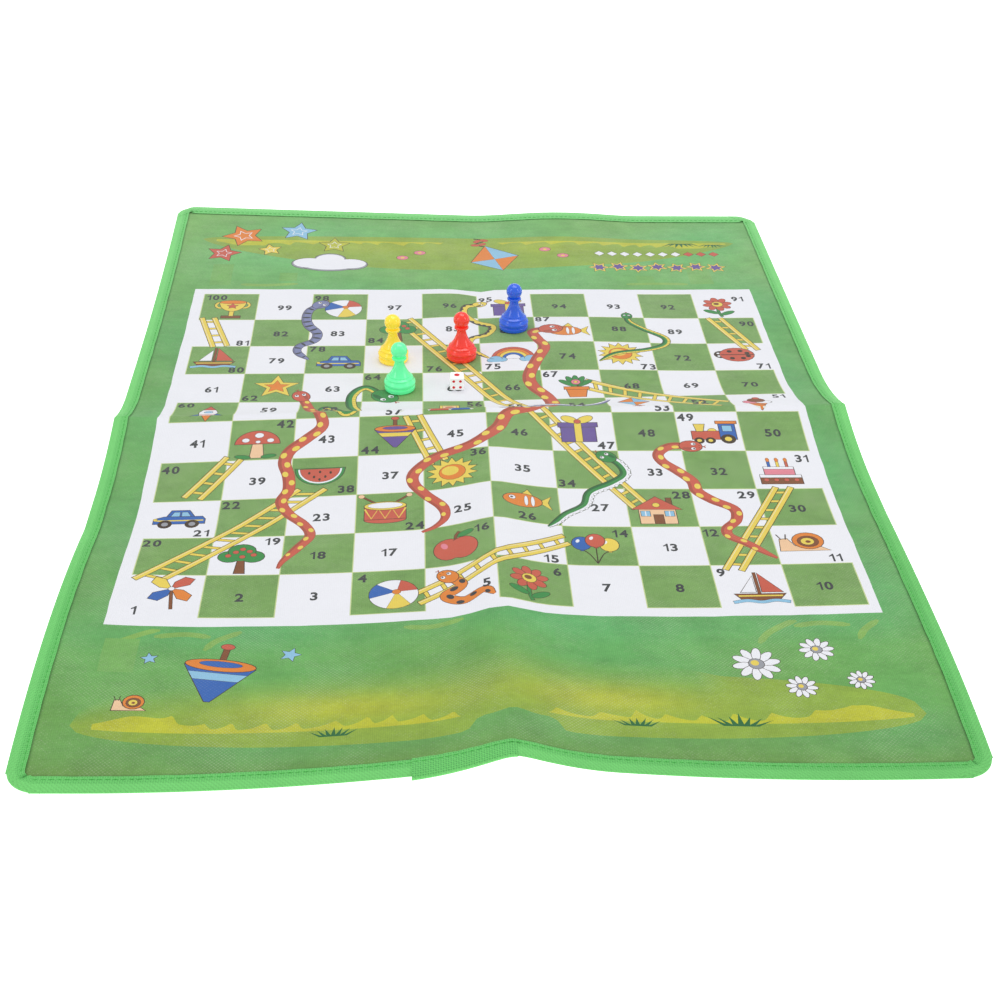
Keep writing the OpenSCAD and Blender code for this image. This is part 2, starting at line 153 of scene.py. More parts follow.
class Inks(bpy.types.PropertyGroup):
    """The print's inks, as screen colours."""
    margin: colour("Margin", "Green of the margins", 100, 168, 94)
    square: colour("Square", "Green of the even squares", 117, 158, 87)
    fringe: colour("Fringe", "Thin edge of the green squares", 196, 210, 150)
    paper: colour("White", "White of the odd squares and the border", 234, 235, 241)
    number: colour("Number", "Grey of the numbers", 62, 64, 66)
    line: colour("Line", "Dark outline of the figures", 66, 52, 40)
    olive: colour("Olive", "Dull green towards the mat's edges", 106, 148, 70)
    cool: colour("Cool", "Cooler green in the margin's washes", 92, 172, 104)
    meadow: colour("Meadow", "Yellow of the margin's bands", 184, 188, 52)
    shade: colour("Shade", "Mid green of the margin's bands", 138, 168, 64)
    grass: colour("Grass", "Dark green of the tufts", 44, 104, 58)
    yellow: colour("Yellow", "Ladders and bright yellow figures", 228, 204, 86)
    orange: colour("Orange", "Orange figures", 222, 130, 52)
    red: colour("Red", "Red snakes and figures", 197, 92, 72)
    pink: colour("Pink", "Pink figures", 222, 132, 148)
    blue: colour("Blue", "Blue figures", 52, 100, 176)
    sky: colour("Sky", "Pale blue figures", 140, 190, 220)
    purple: colour("Purple", "Purple figures", 104, 84, 150)
    brown: colour("Brown", "Brown figures", 128, 78, 46)
    peach: colour("Peach", "Pale warm figures", 236, 196, 156)
    leaf: colour("Leaf", "Leaf green figures", 58, 138, 70)
    grey: colour("Grey", "Grey figures", 150, 152, 160)
    slate: colour("Slate", "Blue grey snake", 124, 130, 170)
    back: colour("Back", "Plain underside of the cloth", 222, 226, 216)
    tape: colour("Tape", "Green of the binding's outer roll", 116, 209, 113)
    sewn: colour("Sewn tape", "Green of the binding's sewn part", 108, 202, 106)
    thread: colour("Thread", "Green of the seam thread", 84, 188, 86)


class PieceSizes(bpy.types.PropertyGroup):
    """The pawns and the die."""
    pawn_high: length("Pawn height", "Height of a pawn", 0.0305)
    foot_wide: length("Foot", "Diameter of a pawn's foot", 0.0184)
    bulge_wide: length("Swelling", "Diameter of the swelling over the foot", 0.0188)
    ring_wide: length("Ring", "Diameter of the upper ring", 0.013)
    neck_wide: length("Neck", "Diameter of the neck", 0.0054)
    collar_wide: length("Collar", "Diameter of the collar", 0.0088)
    throat: length("Throat", "Height of the throat under the head", 0.0009)
    head_wide: length("Head", "Diameter of the head", 0.0099)
    wall: length("Wall", "Wall of the hollow moulding", 0.0015)
    die_side: length("Die", "Edge length of the die", 0.0085)
    die_round: length("Die edge", "Radius of the die's edges", 0.0011)
    pip_wide: length("Pip", "Diameter of a pip", 0.0018)
    one_wide: length("Single pip", "Diameter of the single pip", 0.0034)
    pip_step: length("Pip step", "Spacing of the pips from the middle", 0.002)
    pip_deep: length("Pip depth", "Depth of a pip", 0.0003)
    yellow: colour("Yellow pawn", "Plastic of the yellow pawn", 255, 220, 52)
    green: colour("Green pawn", "Plastic of the mint green pawn", 100, 248, 166)
    red: colour("Red pawn", "Plastic of the red pawn", 242, 52, 38)
    blue: colour("Blue pawn", "Plastic of the blue pawn", 28, 90, 216)
    white: colour("Die", "Plastic of the die", 246, 246, 246)
    pip_red: colour("Red pips", "Ink of the one and the four", 206, 30, 34)
    pip_dark: colour("Dark pips", "Ink of the other pips", 34, 34, 38)


class StageSettings(bpy.types.PropertyGroup):
    """The floor, the lights and the camera."""
    floor: colour("Floor", "Pale floor under the mat", 250, 250, 250)
    world: FloatProperty(name="Surround", description="Strength of the white surround", default=0.63, min=0)
    key: FloatProperty(name="Key", description="Power of the overhead light in watts", default=12.0, min=0)
    side: FloatProperty(name="Side", description="Power of each side light in watts", default=1.7, min=0)
    lens: FloatProperty(name="Lens", description="Focal length in millimetres", default=56.887, min=1)
    eye: FloatVectorProperty(name="Eye", description="Place of the camera", subtype="XYZ", unit="LENGTH",
                             default=(-0.03082, -0.78741, 0.46470))
    ahead: FloatVectorProperty(name="Ahead", description="Direction in which the camera looks", subtype="XYZ",
                               default=(0.04430, 0.83563, -0.54750))
    right: FloatVectorProperty(name="Right", description="Direction of the picture's right side",
                               subtype="XYZ", default=(0.99894, -0.04405, 0.01360))


def settings(name):
    return getattr(bpy.context.scene, "board_" + name)


def mm(name):
    """A length of the mat in millimetres."""
    return getattr(settings("mat"), name)*1000


def linear(screen, alpha=1.0):
    """Screen colour values as scene values, with an alpha."""
    return tuple(c/12.92 if c <= 0.04045 else ((c + 0.055)/1.055)**2.4 for c in screen) + (alpha,)


# The cloth's form

def cloth_height(x, y):
    """Height of the mat's lowest layer over the table. The same sums as in the solids."""
    half_w, half_l = mm("width")/2, mm("reach")/2
    # Under the tape the cloth lies level towards its edge
    x = np.clip(x, mm("tape") - half_w, half_w - mm("tape"))
    y = np.clip(y, mm("tape") - half_l, half_l - mm("tape"))
    over = lambda t: np.maximum(t, 0)
    along = lambda a, b, c: b + (a - b)*over(-x)/half_w + (c - b)*over(x)/half_w
    ridge = along(mm("ridge_left"), mm("ridge_mid"), mm("ridge_right"))
    rise = lambda t: over(1 - t*t)**2
    far = ridge*over(1 - y/along(mm("back_left"), mm("back_mid"), mm("back_right")))**2
    curl = along(mm("curl_left"), mm("curl_mid"), mm("curl_right"))
    curl = curl + mm("bump_high")*rise((x - mm("bump_at"))/mm("bump_reach"))
    far = far + curl*over((y - mm("curl_start"))/(half_l - mm("curl_start")))**2
    far = far + mm("swell_high")*rise((x - mm("swell_x"))/mm("swell_wide"))*rise((y - mm("swell_y"))/mm("swell_long"))
    down = 1 - over((-y - mm("panel_end"))/(half_l - mm("tape") - mm("panel_end")))**2
    lift = over(1 - ((-y - mm("side_at"))/mm("side_reach"))**2)
    panel = mm("panel_right")*(1 + x/half_w)/2*down + lift*(
        mm("side_left")*(over(-x)/half_w)**2 + mm("side_right")*(over(x)/half_w)**2)
    off = np.sqrt((x - mm("crease_x"))**2 + mm("hump_round")**2) - mm("hump_round")
    run = -y/half_l
    hump = mm("hump_high")*run*over(1 - off/mm("hump_reach"))**2
    hump = hump + (mm("spine_start") + (mm("spine_end") - mm("spine_start"))*run)*over(1 - off/mm("spine_reach"))**2
    blend = over(1 + y/along(mm("front_side"), mm("front_mid"), mm("front_side")))**2
    near = (panel + hump)*(1 - blend) + ridge*blend
    return np.maximum(0, np.where(y >= 0, far, near))


def sheet_height(x, y):
    """Height of the printed sheet's underside, which rests on the tape's lower layer at the edge."""
    inset = np.minimum(mm("width")/2 - np.abs(x), mm("reach")/2 - np.abs(y))
    lower = mm("tape_thick") + mm("layer_gap")
    return cloth_height(x, y) + lower*np.clip(1 - (inset - mm("tape"))/mm("settle"), 0, 1)


def cloth_normals(x, y):
    """Upward normals of the sheet, with the creases rounded over a short step."""
    step = 1.5
    dx = (sheet_height(x + step, y) - sheet_height(x - step, y))/(2*step)
    dy = (sheet_height(x, y + step) - sheet_height(x, y - step))/(2*step)
    return unit_rows(np.stack([-dx, -dy, np.ones_like(dx)], 1))


class Drape:
    """Where a place of the flat print comes to lie: the slopes of the creases take up some of its length."""

    STEP = 3.0

    def __init__(self):
        half_w, half_l, step = mm("width")/2, mm("reach")/2, self.STEP
        self.xs, self.ys = np.arange(-half_w, half_w + 1, step), np.arange(-half_l, half_l + 1, step)
        x, y = np.meshgrid(self.xs, self.ys)
        z = cloth_height(x, y)
        across = np.cumsum(np.pad(np.hypot(np.diff(z, axis=1), step) - step, ((0, 0), (1, 0))), 1)
        along = np.cumsum(np.pad(np.hypot(np.diff(z, axis=0), step) - step, ((1, 0), (0, 0))), 0)
        column, row = np.argmin(np.abs(self.xs - mm("crease_x"))), np.argmin(np.abs(self.ys))
        self.across, self.along = across - across[:, column:column + 1], along - along[row:row + 1]

    def look_up(self, table, x, y):
        i = np.clip((x - self.xs[0])/self.STEP, 0, len(self.xs) - 1.001)
        j = np.clip((y - self.ys[0])/self.STEP, 0, len(self.ys) - 1.001)
        a, b = i.astype(int), j.astype(int)
        s, t = i - a, j - b
        return (table[b, a]*(1 - s) + table[b, a + 1]*s)*(1 - t) + (table[b + 1, a]*(1 - s) + table[b + 1, a + 1]*s)*t

    def __call__(self, points):
        x, y = np.asarray(points, float).T
        # The right side lies in small waves, which draw the print in a little more
        waves = 0.013*np.clip((x - 10)/120, 0, 1)
        bell = lambda at, wide: np.exp(-((x - at)/wide)**2)
        # Beside the long crease the print bends: up and down in the far part, towards the player in the near part
        bend = 3.4*bell(-18, 20)*np.exp(-((y - 150)/30)**2) - 3.7*bell(2.5, 8)*np.clip((y - 110)/70, 0, 1)
        bend = bend - (2.4*bell(-18, 14) + 1.5*bell(20, 14) + 0.6*bell(2, 8))*np.clip((-y - 120)/70, 0, 1)
        along = (y - self.look_up(self.along, x, y))*(1 - waves) + bend
        return np.stack([x - 0.7*self.look_up(self.across, x, y), along], 1)


# Flat shapes of the print. Outlines with less area than this, in square millimetres, are left out
LEAST_AREA = 0.004


def unit_rows(rows):
    """Each row as a vector of length one."""
    return rows/np.maximum(np.linalg.norm(rows, axis=1), 1e-9)[:, None]


def signed_area(ring):
    """Area inside a closed outline, above zero when it runs counter-clockwise."""
    return np.sum(ring[:, 0]*np.roll(ring[:, 1], -1) - np.roll(ring[:, 0], -1)*ring[:, 1])/2


def grown(points, by):
    """A closed outline moved outwards."""
    ring = np.asarray(points, float)
    ahead, back = unit_rows(np.roll(ring, -1, 0) - ring), unit_rows(ring - np.roll(ring, 1, 0))
    way = 1 if signed_area(ring) > 0 else -1
    out = np.stack([(ahead + back)[:, 1], -(ahead + back)[:, 0]], 1)*way
    mitre = np.minimum(2/np.maximum(np.linalg.norm(out, axis=1), 0.8), 1.8)
    return ring + unit_rows(out)*mitre[:, None]*by


def counter_clockwise(points):
    """The outline without doubled points, turned counter-clockwise, or None when it has no area."""
    ring = np.asarray(points, float)
    ring = ring[np.linalg.norm(ring - np.roll(ring, 1, 0), axis=1) > 0.01]
    if len(ring) < 3:
        return None
    area = signed_area(ring)
    if abs(area) < LEAST_AREA:
        return None
    return ring if area > 0 else ring[::-1]


def smooth_path(points, steps=8):
    """A rounded line through the points."""
    p = np.asarray(points, float)
    p = np.vstack([2*p[0] - p[1], p, 2*p[-1] - p[-2]])
    t = np.linspace(0, 1, steps, endpoint=False)[:, None]
    runs = [0.5*(2*b + (c - a)*t + (2*a - 5*b + 4*c - d)*t**2 + (3*b - a - 3*c + d)*t**3)
            for a, b, c, d in zip(p[:-3], p[1:-2], p[2:-1], p[3:])]
    return np.vstack(runs + [p[-2]])


def even_path(points, pitch):
    """The same line with points at an even pitch, and the distance of each from the start."""
    p = np.asarray(points, float)
    run = np.concatenate([[0], np.cumsum(np.linalg.norm(np.diff(p, axis=0), axis=1))])
    at = np.linspace(0, run[-1], max(2, int(run[-1]/pitch) + 1))
    return np.stack([np.interp(at, run, p[:, 0]), np.interp(at, run, p[:, 1])], 1), at


def side_vectors(path):
    """Unit vectors to the left of a line's points."""
    d = unit_rows(np.gradient(path, axis=0))
    return np.stack([-d[:, 1], d[:, 0]], 1)


def ribbon(path, widths):
    """The outline of a band along a line."""
    path = np.asarray(path, float)
    half = side_vectors(path)*(np.broadcast_to(widths, len(path))[:, None]/2)
    return np.vstack([path + half, (path - half)[::-1]])


class Pen:
    """Draws inked shapes in a frame of its own: a place, a size and a turn on the sheet."""

    def __init__(self, shapes, x=0, y=0, size=1.0, turn=0.0):
        self.shapes, self.x, self.y, self.size, self.turn = shapes, x, y, size, math.radians(turn)

    def at(self, x, y, size=1.0, turn=0.0):
        px, py = self.place([(x, y)])[0]
        return Pen(self.shapes, px, py, self.size*size, math.degrees(self.turn) + turn)

    def place(self, points):
        p = np.asarray(points, float)*self.size
        c, s = math.cos(self.turn), math.sin(self.turn)
        return np.stack([self.x + p[:, 0]*c - p[:, 1]*s, self.y + p[:, 0]*s + p[:, 1]*c], 1)

    def shape(self, points, ink, line=0.4):
        """A closed shape, with a dark line of that width round it."""
        placed = self.place(points)
        if line:
            self.shapes.append((grown(placed, line), "line"))
        self.shapes.append((placed, ink))

    def oval(self, x, y, rx, ry, ink, turn=0, line=0.4, start=0, end=360):
        count = max(10, min(30, int(4*math.sqrt(max(rx, ry)*self.size) + 6)))
        whole = end - start >= 360
        a = np.radians(np.linspace(start, end, count, endpoint=not whole))
        t = math.radians(turn)
        px, py = rx*np.cos(a), ry*np.sin(a)
        self.shape(np.stack([x + px*math.cos(t) - py*math.sin(t), y + px*math.sin(t) + py*math.cos(t)], 1),
                   ink, line)

    def dots(self, places, r, ink, line=0.0):
        for x, y in places:
            self.oval(x, y, r, r, ink, line=line)

    def star(self, x, y, r, inner, count, ink, turn=90, line=0.4):
        a = np.radians(turn + np.arange(2*count)*180/count)
        d = np.where(np.arange(2*count) % 2 == 0, r, r*inner)
        self.shape(np.stack([x + d*np.cos(a), y + d*np.sin(a)], 1), ink, line)

    def stroke(self, points, width, ink, line=0.0, smooth=True):
        path = smooth_path(points, 6) if smooth and len(points) > 2 else np.asarray(points, float)
        self.shape(ribbon(path, width), ink, line)

    def box(self, x0, y0, x1, y1, ink, line=0.4):
        self.shape([(x0, y0), (x1, y0), (x1, y1), (x0, y1)], ink, line)


# Small figures for the squares, each about two units wide round the middle

def sun(p):
    p.star(0, 0, 1, 0.68, 14, "yellow")
    p.oval(0, 0, 0.52, 0.52, "orange", line=0.25)
    p.oval(-0.08, 0.1, 0.34, 0.32, "yellow", line=0)


def flower(p):
    p.stroke([(0.05, -1), (-0.05, -0.5), (0, 0.2)], 0.13, "leaf", 0.3)
    p.oval(0.36, -0.62, 0.38, 0.15, "leaf", 30, 0.3)
    p.oval(-0.4, -0.48, 0.38, 0.15, "leaf", 150, 0.3)
    for k in range(8):
        a = math.radians(45*k + 10)
        p.oval(0.43*math.cos(a), 0.32 + 0.43*math.sin(a), 0.27, 0.17, "red", 45*k + 10, 0.3)
    p.oval(0, 0.32, 0.26, 0.26, "yellow", line=0.3)
    p.oval(-0.04, 0.36, 0.14, 0.13, "brown", line=0)


def tree(p):
    p.shape([(-0.17, -1), (0.2, -1), (0.12, -0.1), (-0.1, -0.1)], "brown")
    for x, y, r in ((-0.42, 0.12, 0.42), (0.42, 0.1, 0.42), (0, 0.5, 0.5)):
        p.oval(x, y, r, r*0.9, "leaf")
    p.oval(0, 0.18, 0.5, 0.36, "leaf", line=0)
    p.dots(((-0.48, 0.18), (0.02, 0.62), (0.44, 0.22), (0.04, 0.1), (-0.22, 0.42), (0.28, 0.46)), 0.11, "red", 0.2)


def ball(p):
    p.oval(0, 0, 0.86, 0.86, "paper")
    for k, ink in enumerate(("red", "paper", "blue", "paper", "yellow", "paper")):
        a = np.radians(np.linspace(60*k + 14, 60*k + 74, 9))
        rim = np.stack([0.86*np.cos(a), 0.86*np.sin(a)], 1)
        p.shape(np.vstack([[(0.1, 0.14)], rim]), ink, 0.16)
    p.oval(0.1, 0.14, 0.15, 0.14, "orange", line=0.2)


def kite(p):
    p.stroke([(0, -0.5), (0.24, -0.72), (-0.1, -0.88), (0.16, -1.08)], 0.05, "line")
    for x, y, t in ((0.14, -0.68, 20), (0.02, -0.9, -30)):
        p.oval(x - 0.1, y, 0.12, 0.07, "red", t, 0.2)
        p.oval(x + 0.1, y, 0.12, 0.07, "red", -t, 0.2)
    p.shape([(0, 1), (0.66, 0.3), (0, -0.55), (-0.66, 0.3)], "orange")
    p.shape([(0, 1), (0.66, 0.3), (0, 0.3)], "sky", 0.16)
    p.shape([(0, -0.55), (-0.66, 0.3), (0, 0.3)], "sky", 0.16)


def fish(p):
    p.shape([(0.5, 0), (1, 0.46), (0.86, 0), (1, -0.46)], "yellow")
    p.shape([(-0.2, 0.36), (0.1, 0.78), (0.34, 0.3)], "yellow")
    p.oval(-0.12, 0, 0.76, 0.46, "orange")
    for x in (0.02, 0.28):
        p.oval(x, 0, 0.07, 0.34, "paper", line=0.16)
    p.oval(-0.52, 0.12, 0.13, 0.13, "paper", line=0.25)
    p.oval(-0.54, 0.12, 0.06, 0.06, "line", line=0)


def boat(p):
    p.box(-0.06, -0.36, 0.04, 0.96, "brown", 0.25)
    p.shape([(0.1, 0.92), (0.84, -0.24), (0.1, -0.24)], "red")
    p.shape([(-0.12, 0.74), (-0.66, -0.24), (-0.12, -0.24)], "paper")
    p.shape([(-0.9, -0.34), (0.92, -0.34), (0.6, -0.78), (-0.62, -0.78)], "brown")
    p.box(-0.78, -0.5, 0.8, -0.42, "yellow", 0)
    p.stroke([(-1, -0.84), (-0.5, -0.74), (0, -0.84), (0.5, -0.74), (1, -0.84)], 0.16, "sky", 0.2)


def house(p):
    p.box(0.42, 0.3, 0.62, 0.86, "brown")
    p.box(-0.7, -0.9, 0.7, 0.12, "peach")
    p.shape([(-0.96, 0.08), (0.96, 0.08), (0.02, 0.94)], "red")
    p.box(-0.16, -0.9, 0.2, -0.28, "brown", 0.3)
    for x in (-0.46, 0.46):
        p.box(x - 0.17, -0.38, x + 0.17, -0.04, "sky", 0.3)
        p.box(x - 0.02, -0.38, x + 0.02, -0.04, "paper", 0)
    p.oval(0, 0.38, 0.14, 0.14, "yellow", line=0.25)


def pinwheel(p):
    p.stroke([(0, 0.2), (0.12, -1)], 0.1, "brown", 0.25, False)
    for k, ink in enumerate(("red", "yellow", "blue", "orange")):
        q = p.at(0, 0.24, 1, 90*k)
        q.shape([(0, 0), (0.08, 0.42), (0.4, 0.74), (0.74, 0.62), (0.6, 0.26)], ink, 0.35)
    p.oval(0, 0.24, 0.11, 0.11, "paper", line=0.3)


def apple(p):
    p.stroke([(0, 0.4), (0.02, 0.7), (0.14, 0.92)], 0.1, "brown", 0.25)
    p.oval(0.38, 0.76, 0.32, 0.15, "leaf", 24, 0.3)
    p.oval(-0.27, -0.12, 0.54, 0.66, "red")
    p.oval(0.27, -0.12, 0.54, 0.66, "red")
    p.oval(0, -0.16, 0.5, 0.56, "red", line=0)
    p.oval(-0.42, 0.12, 0.12, 0.2, "pink", 20, 0)


def toadstool(p):
    p.shape([(-0.26, -0.96), (0.3, -0.96), (0.2, 0.0), (-0.18, 0.0)], "peach")
    p.oval(0, -0.05, 0.9, 0.84, "red", start=0, end=180)
    for x, y, r in ((-0.48, 0.2, 0.15), (0.05, 0.5, 0.18), (0.52, 0.16, 0.14), (0.02, 0.08, 0.1)):
        p.oval(x, y, r, r*0.86, "paper", line=0.2)
    p.oval(0.5, -0.86, 0.3, 0.12, "leaf", 10, 0.3)
    p.oval(-0.54, -0.88, 0.32, 0.12, "leaf", -10, 0.3)


def balloons(p):
    for x, y, ink in ((-0.5, 0.32, "blue"), (0.52, 0.24, "yellow"), (0.02, 0.52, "red")):
        p.stroke([(x, y - 0.4), (x*0.5, -0.4), (0, -1)], 0.045, "line")
        p.shape([(x - 0.07, y - 0.5), (x + 0.07, y - 0.5), (x, y - 0.36)], ink, 0.25)
        p.oval(x, y, 0.36, 0.44, ink)
        p.oval(x - 0.13, y + 0.16, 0.07, 0.12, "paper", -20, 0)


def ladybird(p):
    p.oval(-0.62, 0.02, 0.3, 0.32, "line")
    p.oval(0.1, 0, 0.78, 0.64, "red")
    p.stroke([(-0.62, 0), (0.86, 0)], 0.06, "line", 0, False)
    p.dots(((-0.2, 0.32), (0.3, 0.36), (-0.16, -0.34), (0.34, -0.34), (0.58, 0.14), (0.6, -0.14)), 0.12, "line")
    p.dots(((-0.74, 0.14), (-0.74, -0.12)), 0.07, "paper")


def car(p):
    p.shape([(-0.52, 0.02), (-0.34, 0.5), (0.32, 0.5), (0.58, 0.02)], "blue")
    p.shape([(-0.36, 0.06), (-0.24, 0.38), (-0.02, 0.38), (-0.02, 0.06)], "sky", 0.25)
    p.shape([(0.06, 0.06), (0.06, 0.38), (0.26, 0.38), (0.42, 0.06)], "sky", 0.25)
    p.shape([(-0.96, -0.4), (-0.96, -0.08), (-0.6, 0.08), (0.84, 0.08), (0.96, -0.1), (0.96, -0.4)], "blue")
    p.box(-0.9, -0.22, 0.9, -0.14, "yellow", 0)
    for x in (-0.52, 0.5):
        p.oval(x, -0.42, 0.26, 0.26, "line", line=0.2)
        p.oval(x, -0.42, 0.13, 0.13, "grey", line=0)
    p.oval(-0.9, -0.12, 0.08, 0.08, "yellow", line=0.2)


def gift(p):
    p.box(-0.7, -0.86, 0.7, 0.2, "purple")
    p.box(-0.8, 0.14, 0.8, 0.42, "purple")
    p.box(-0.14, -0.86, 0.14, 0.42, "yellow", 0.25)
    p.oval(-0.32, 0.64, 0.36, 0.2, "yellow", 150, 0.35)
    p.oval(0.32, 0.64, 0.36, 0.2, "yellow", 30, 0.35)
    p.oval(0, 0.5, 0.13, 0.13, "red", line=0.3)


def drum(p):
    for s in (-1, 1):
        p.stroke([(s*0.2, 0.3), (s*0.92, 0.94)], 0.08, "brown", 0.25, False)
        p.oval(s*0.92, 0.94, 0.12, 0.12, "peach", line=0.25)
    p.box(-0.78, -0.66, 0.78, 0.26, "red")
    p.oval(0, -0.66, 0.78, 0.24, "red", start=180, end=360)
    path = [(-0.78 + 0.26*k, -0.58 if k % 2 else 0.08) for k in range(7)]
    p.stroke(path, 0.07, "yellow", 0, False)
    p.oval(0, 0.26, 0.8, 0.27, "yellow")
    p.oval(0, 0.29, 0.66, 0.19, "paper", line=0.2)


def rainbow(p):
    for r, ink in ((0.98, "red"), (0.82, "orange"), (0.66, "yellow"), (0.5, "blue"), (0.34, "paper")):
        p.oval(0, -0.4, r, r*1.08, ink, line=0.2, start=0, end=180)
    for s in (-1, 1):
        for x, y, r in ((0.5, -0.46, 0.22), (0.78, -0.36, 0.27), (1.0, -0.5, 0.18)):
            p.oval(s*x, y, r, r*0.84, "sky", line=0.3)
        p.oval(s*0.76, -0.52, 0.34, 0.15, "sky", line=0)


def ice_cream(p):
    p.shape([(-0.42, 0.0), (0.42, 0.0), (0.02, -1)], "orange")
    for k in (-0.24, 0.02, 0.26):
        p.stroke([(k - 0.16, -0.02), (0.2 + k*0.2, -0.52)], 0.04, "brown", 0, False)
    p.oval(-0.26, 0.18, 0.34, 0.3, "pink")
    p.oval(0.28, 0.18, 0.34, 0.3, "paper")
    p.oval(0.02, 0.5, 0.36, 0.34, "brown")
    p.oval(0.06, 0.86, 0.14, 0.14, "red", line=0.3)


def cake(p):
    p.box(-0.82, -0.8, 0.82, -0.24, "brown")
    p.box(-0.82, -0.36, 0.82, -0.16, "paper", 0.25)
    p.box(-0.6, -0.16, 0.6, 0.32, "pink")
    p.box(-0.6, 0.22, 0.6, 0.38, "paper", 0.25)
    for x, ink in ((-0.36, "blue"), (0, "yellow"), (0.36, "red")):
        p.box(x - 0.05, 0.38, x + 0.05, 0.72, ink, 0.25)
        p.oval(x, 0.84, 0.07, 0.13, "orange", line=0.2)
    p.dots([(x, -0.52) for x in (-0.6, -0.2, 0.2, 0.6)], 0.1, "red", 0.2)


def rocket(p):
    p.shape([(-0.2, -0.6), (0, -1.06), (0.2, -0.6)], "orange")
    for s in (-1, 1):
        p.shape([(s*0.26, -0.1), (s*0.66, -0.7), (s*0.24, -0.56)], "blue")
    p.shape([(-0.3, -0.6), (0.3, -0.6), (0.38, 0.1), (0.24, 0.56), (-0.24, 0.56), (-0.38, 0.1)], "paper")
    p.shape([(-0.25, 0.54), (0.25, 0.54), (0, 1.02)], "red")
    p.oval(0, 0.16, 0.17, 0.17, "sky", line=0.35)
    p.box(-0.32, -0.42, 0.32, -0.3, "red", 0)


def snail(p):
    p.shape([(-0.98, -0.62), (0.86, -0.62), (0.5, -0.34), (-0.4, -0.3), (-0.62, 0.2), (-0.9, 0.16)], "peach")
    p.stroke([(-0.84, 0.14), (-0.98, 0.5)], 0.05, "line", 0, False)
    p.stroke([(-0.68, 0.14), (-0.62, 0.5)], 0.05, "line", 0, False)
    p.oval(0.14, 0.04, 0.58, 0.54, "orange")
    p.oval(0.14, 0.0, 0.4, 0.37, "brown", line=0.2)
    p.oval(0.12, 0.0, 0.25, 0.23, "yellow", line=0.2)
    p.oval(0.14, -0.02, 0.1, 0.09, "brown", line=0)


def blocks(p):
    for x, y, ink, mark in ((-0.44, -0.46, "red", "yellow"), (0.44, -0.46, "blue", "paper"),
                            (0.0, 0.38, "yellow", "red")):
        p.box(x - 0.4, y - 0.4, x + 0.4, y + 0.4, ink)
        p.box(x - 0.28, y - 0.28, x + 0.28, y + 0.28, "peach", 0.2)
        p.oval(x, y, 0.17, 0.17, mark, line=0.25)


def spinning_top(p, a="purple", b="yellow"):
    p.box(-0.07, 0.4, 0.07, 0.96, "brown", 0.3)
    p.oval(0, 0.94, 0.16, 0.1, "red", line=0.3)
    p.shape([(-0.82, 0.2), (0.82, 0.2), (0.5, -0.3), (0.06, -0.98), (-0.06, -0.98), (-0.5, -0.3)], a)
    p.shape([(-0.68, -0.02), (0.68, -0.02), (0.52, -0.26), (-0.52, -0.26)], b, 0.2)
    p.oval(0, 0.26, 0.82, 0.2, "orange")
    p.oval(0, 0.3, 0.5, 0.1, a, line=0.2)


def melon(p):
    p.oval(0, 0.4, 0.98, 1.1, "leaf", start=180, end=360)
    p.oval(0, 0.36, 0.86, 0.96, "paper", line=0, start=180, end=360)
    p.oval(0, 0.36, 0.78, 0.86, "red", line=0.2, start=180, end=360)
    for x, y in ((-0.42, 0.1), (0, 0.16), (0.42, 0.1), (-0.22, -0.16), (0.22, -0.16), (0, -0.34)):
        p.oval(x, y, 0.05, 0.09, "line", line=0)


def pot_plant(p):
    for t in (35, 65, 90, 115, 145):
        a = math.radians(t)
        p.oval(0.42*math.cos(a), 0.1 + 0.44*math.sin(a), 0.46, 0.15, "leaf", t, 0.3)
    p.oval(0, 0.46, 0.2, 0.2, "pink", line=0.35)
    p.oval(0, 0.46, 0.08, 0.08, "yellow", line=0.2)
    p.shape([(-0.46, -0.1), (0.46, -0.1), (0.34, -0.92), (-0.34, -0.92)], "orange")
    p.box(-0.54, -0.16, 0.54, 0.06, "orange", 0.35)


def cup(p):
    for s in (-1, 1):
        p.oval(s*0.56, 0.36, 0.28, 0.34, "yellow")
        p.oval(s*0.56, 0.36, 0.15, 0.2, "square", line=0.25)
    p.box(-0.44, -0.94, 0.44, -0.7, "brown")
    p.box(-0.1, -0.72, 0.1, -0.1, "yellow")
    p.oval(0, 0.66, 0.62, 0.9, "yellow", start=180, end=360)
    p.oval(0, 0.66, 0.62, 0.17, "orange", line=0.3)
    p.star(0, 0.26, 0.28, 0.45, 5, "red", line=0.25)


def engine(p):
    p.box(-0.92, -0.34, 0.4, 0.2, "red")
    p.box(0.24, -0.34, 0.9, 0.76, "blue")
    p.box(0.38, 0.2, 0.76, 0.56, "sky", 0.3)
    p.box(0.14, 0.7, 1.0, 0.86, "orange")
    p.shape([(-0.7, 0.2), (-0.78, 0.66), (-0.34, 0.66), (-0.44, 0.2)], "yellow")
    p.oval(-0.06, 0.22, 0.17, 0.16, "yellow", line=0.3, start=0, end=180)
    for x, r in ((-0.66, 0.2), (-0.2, 0.2), (0.54, 0.3)):
        p.oval(x, -0.62 + r, r, r, "line", line=0.2)
        p.oval(x, -0.62 + r, r*0.5, r*0.5, "yellow", line=0)


def gem_star(p):
    p.star(0, -0.04, 1, 0.44, 5, "yellow")
    p.star(0, -0.04, 0.56, 0.44, 5, "orange", line=0.2)


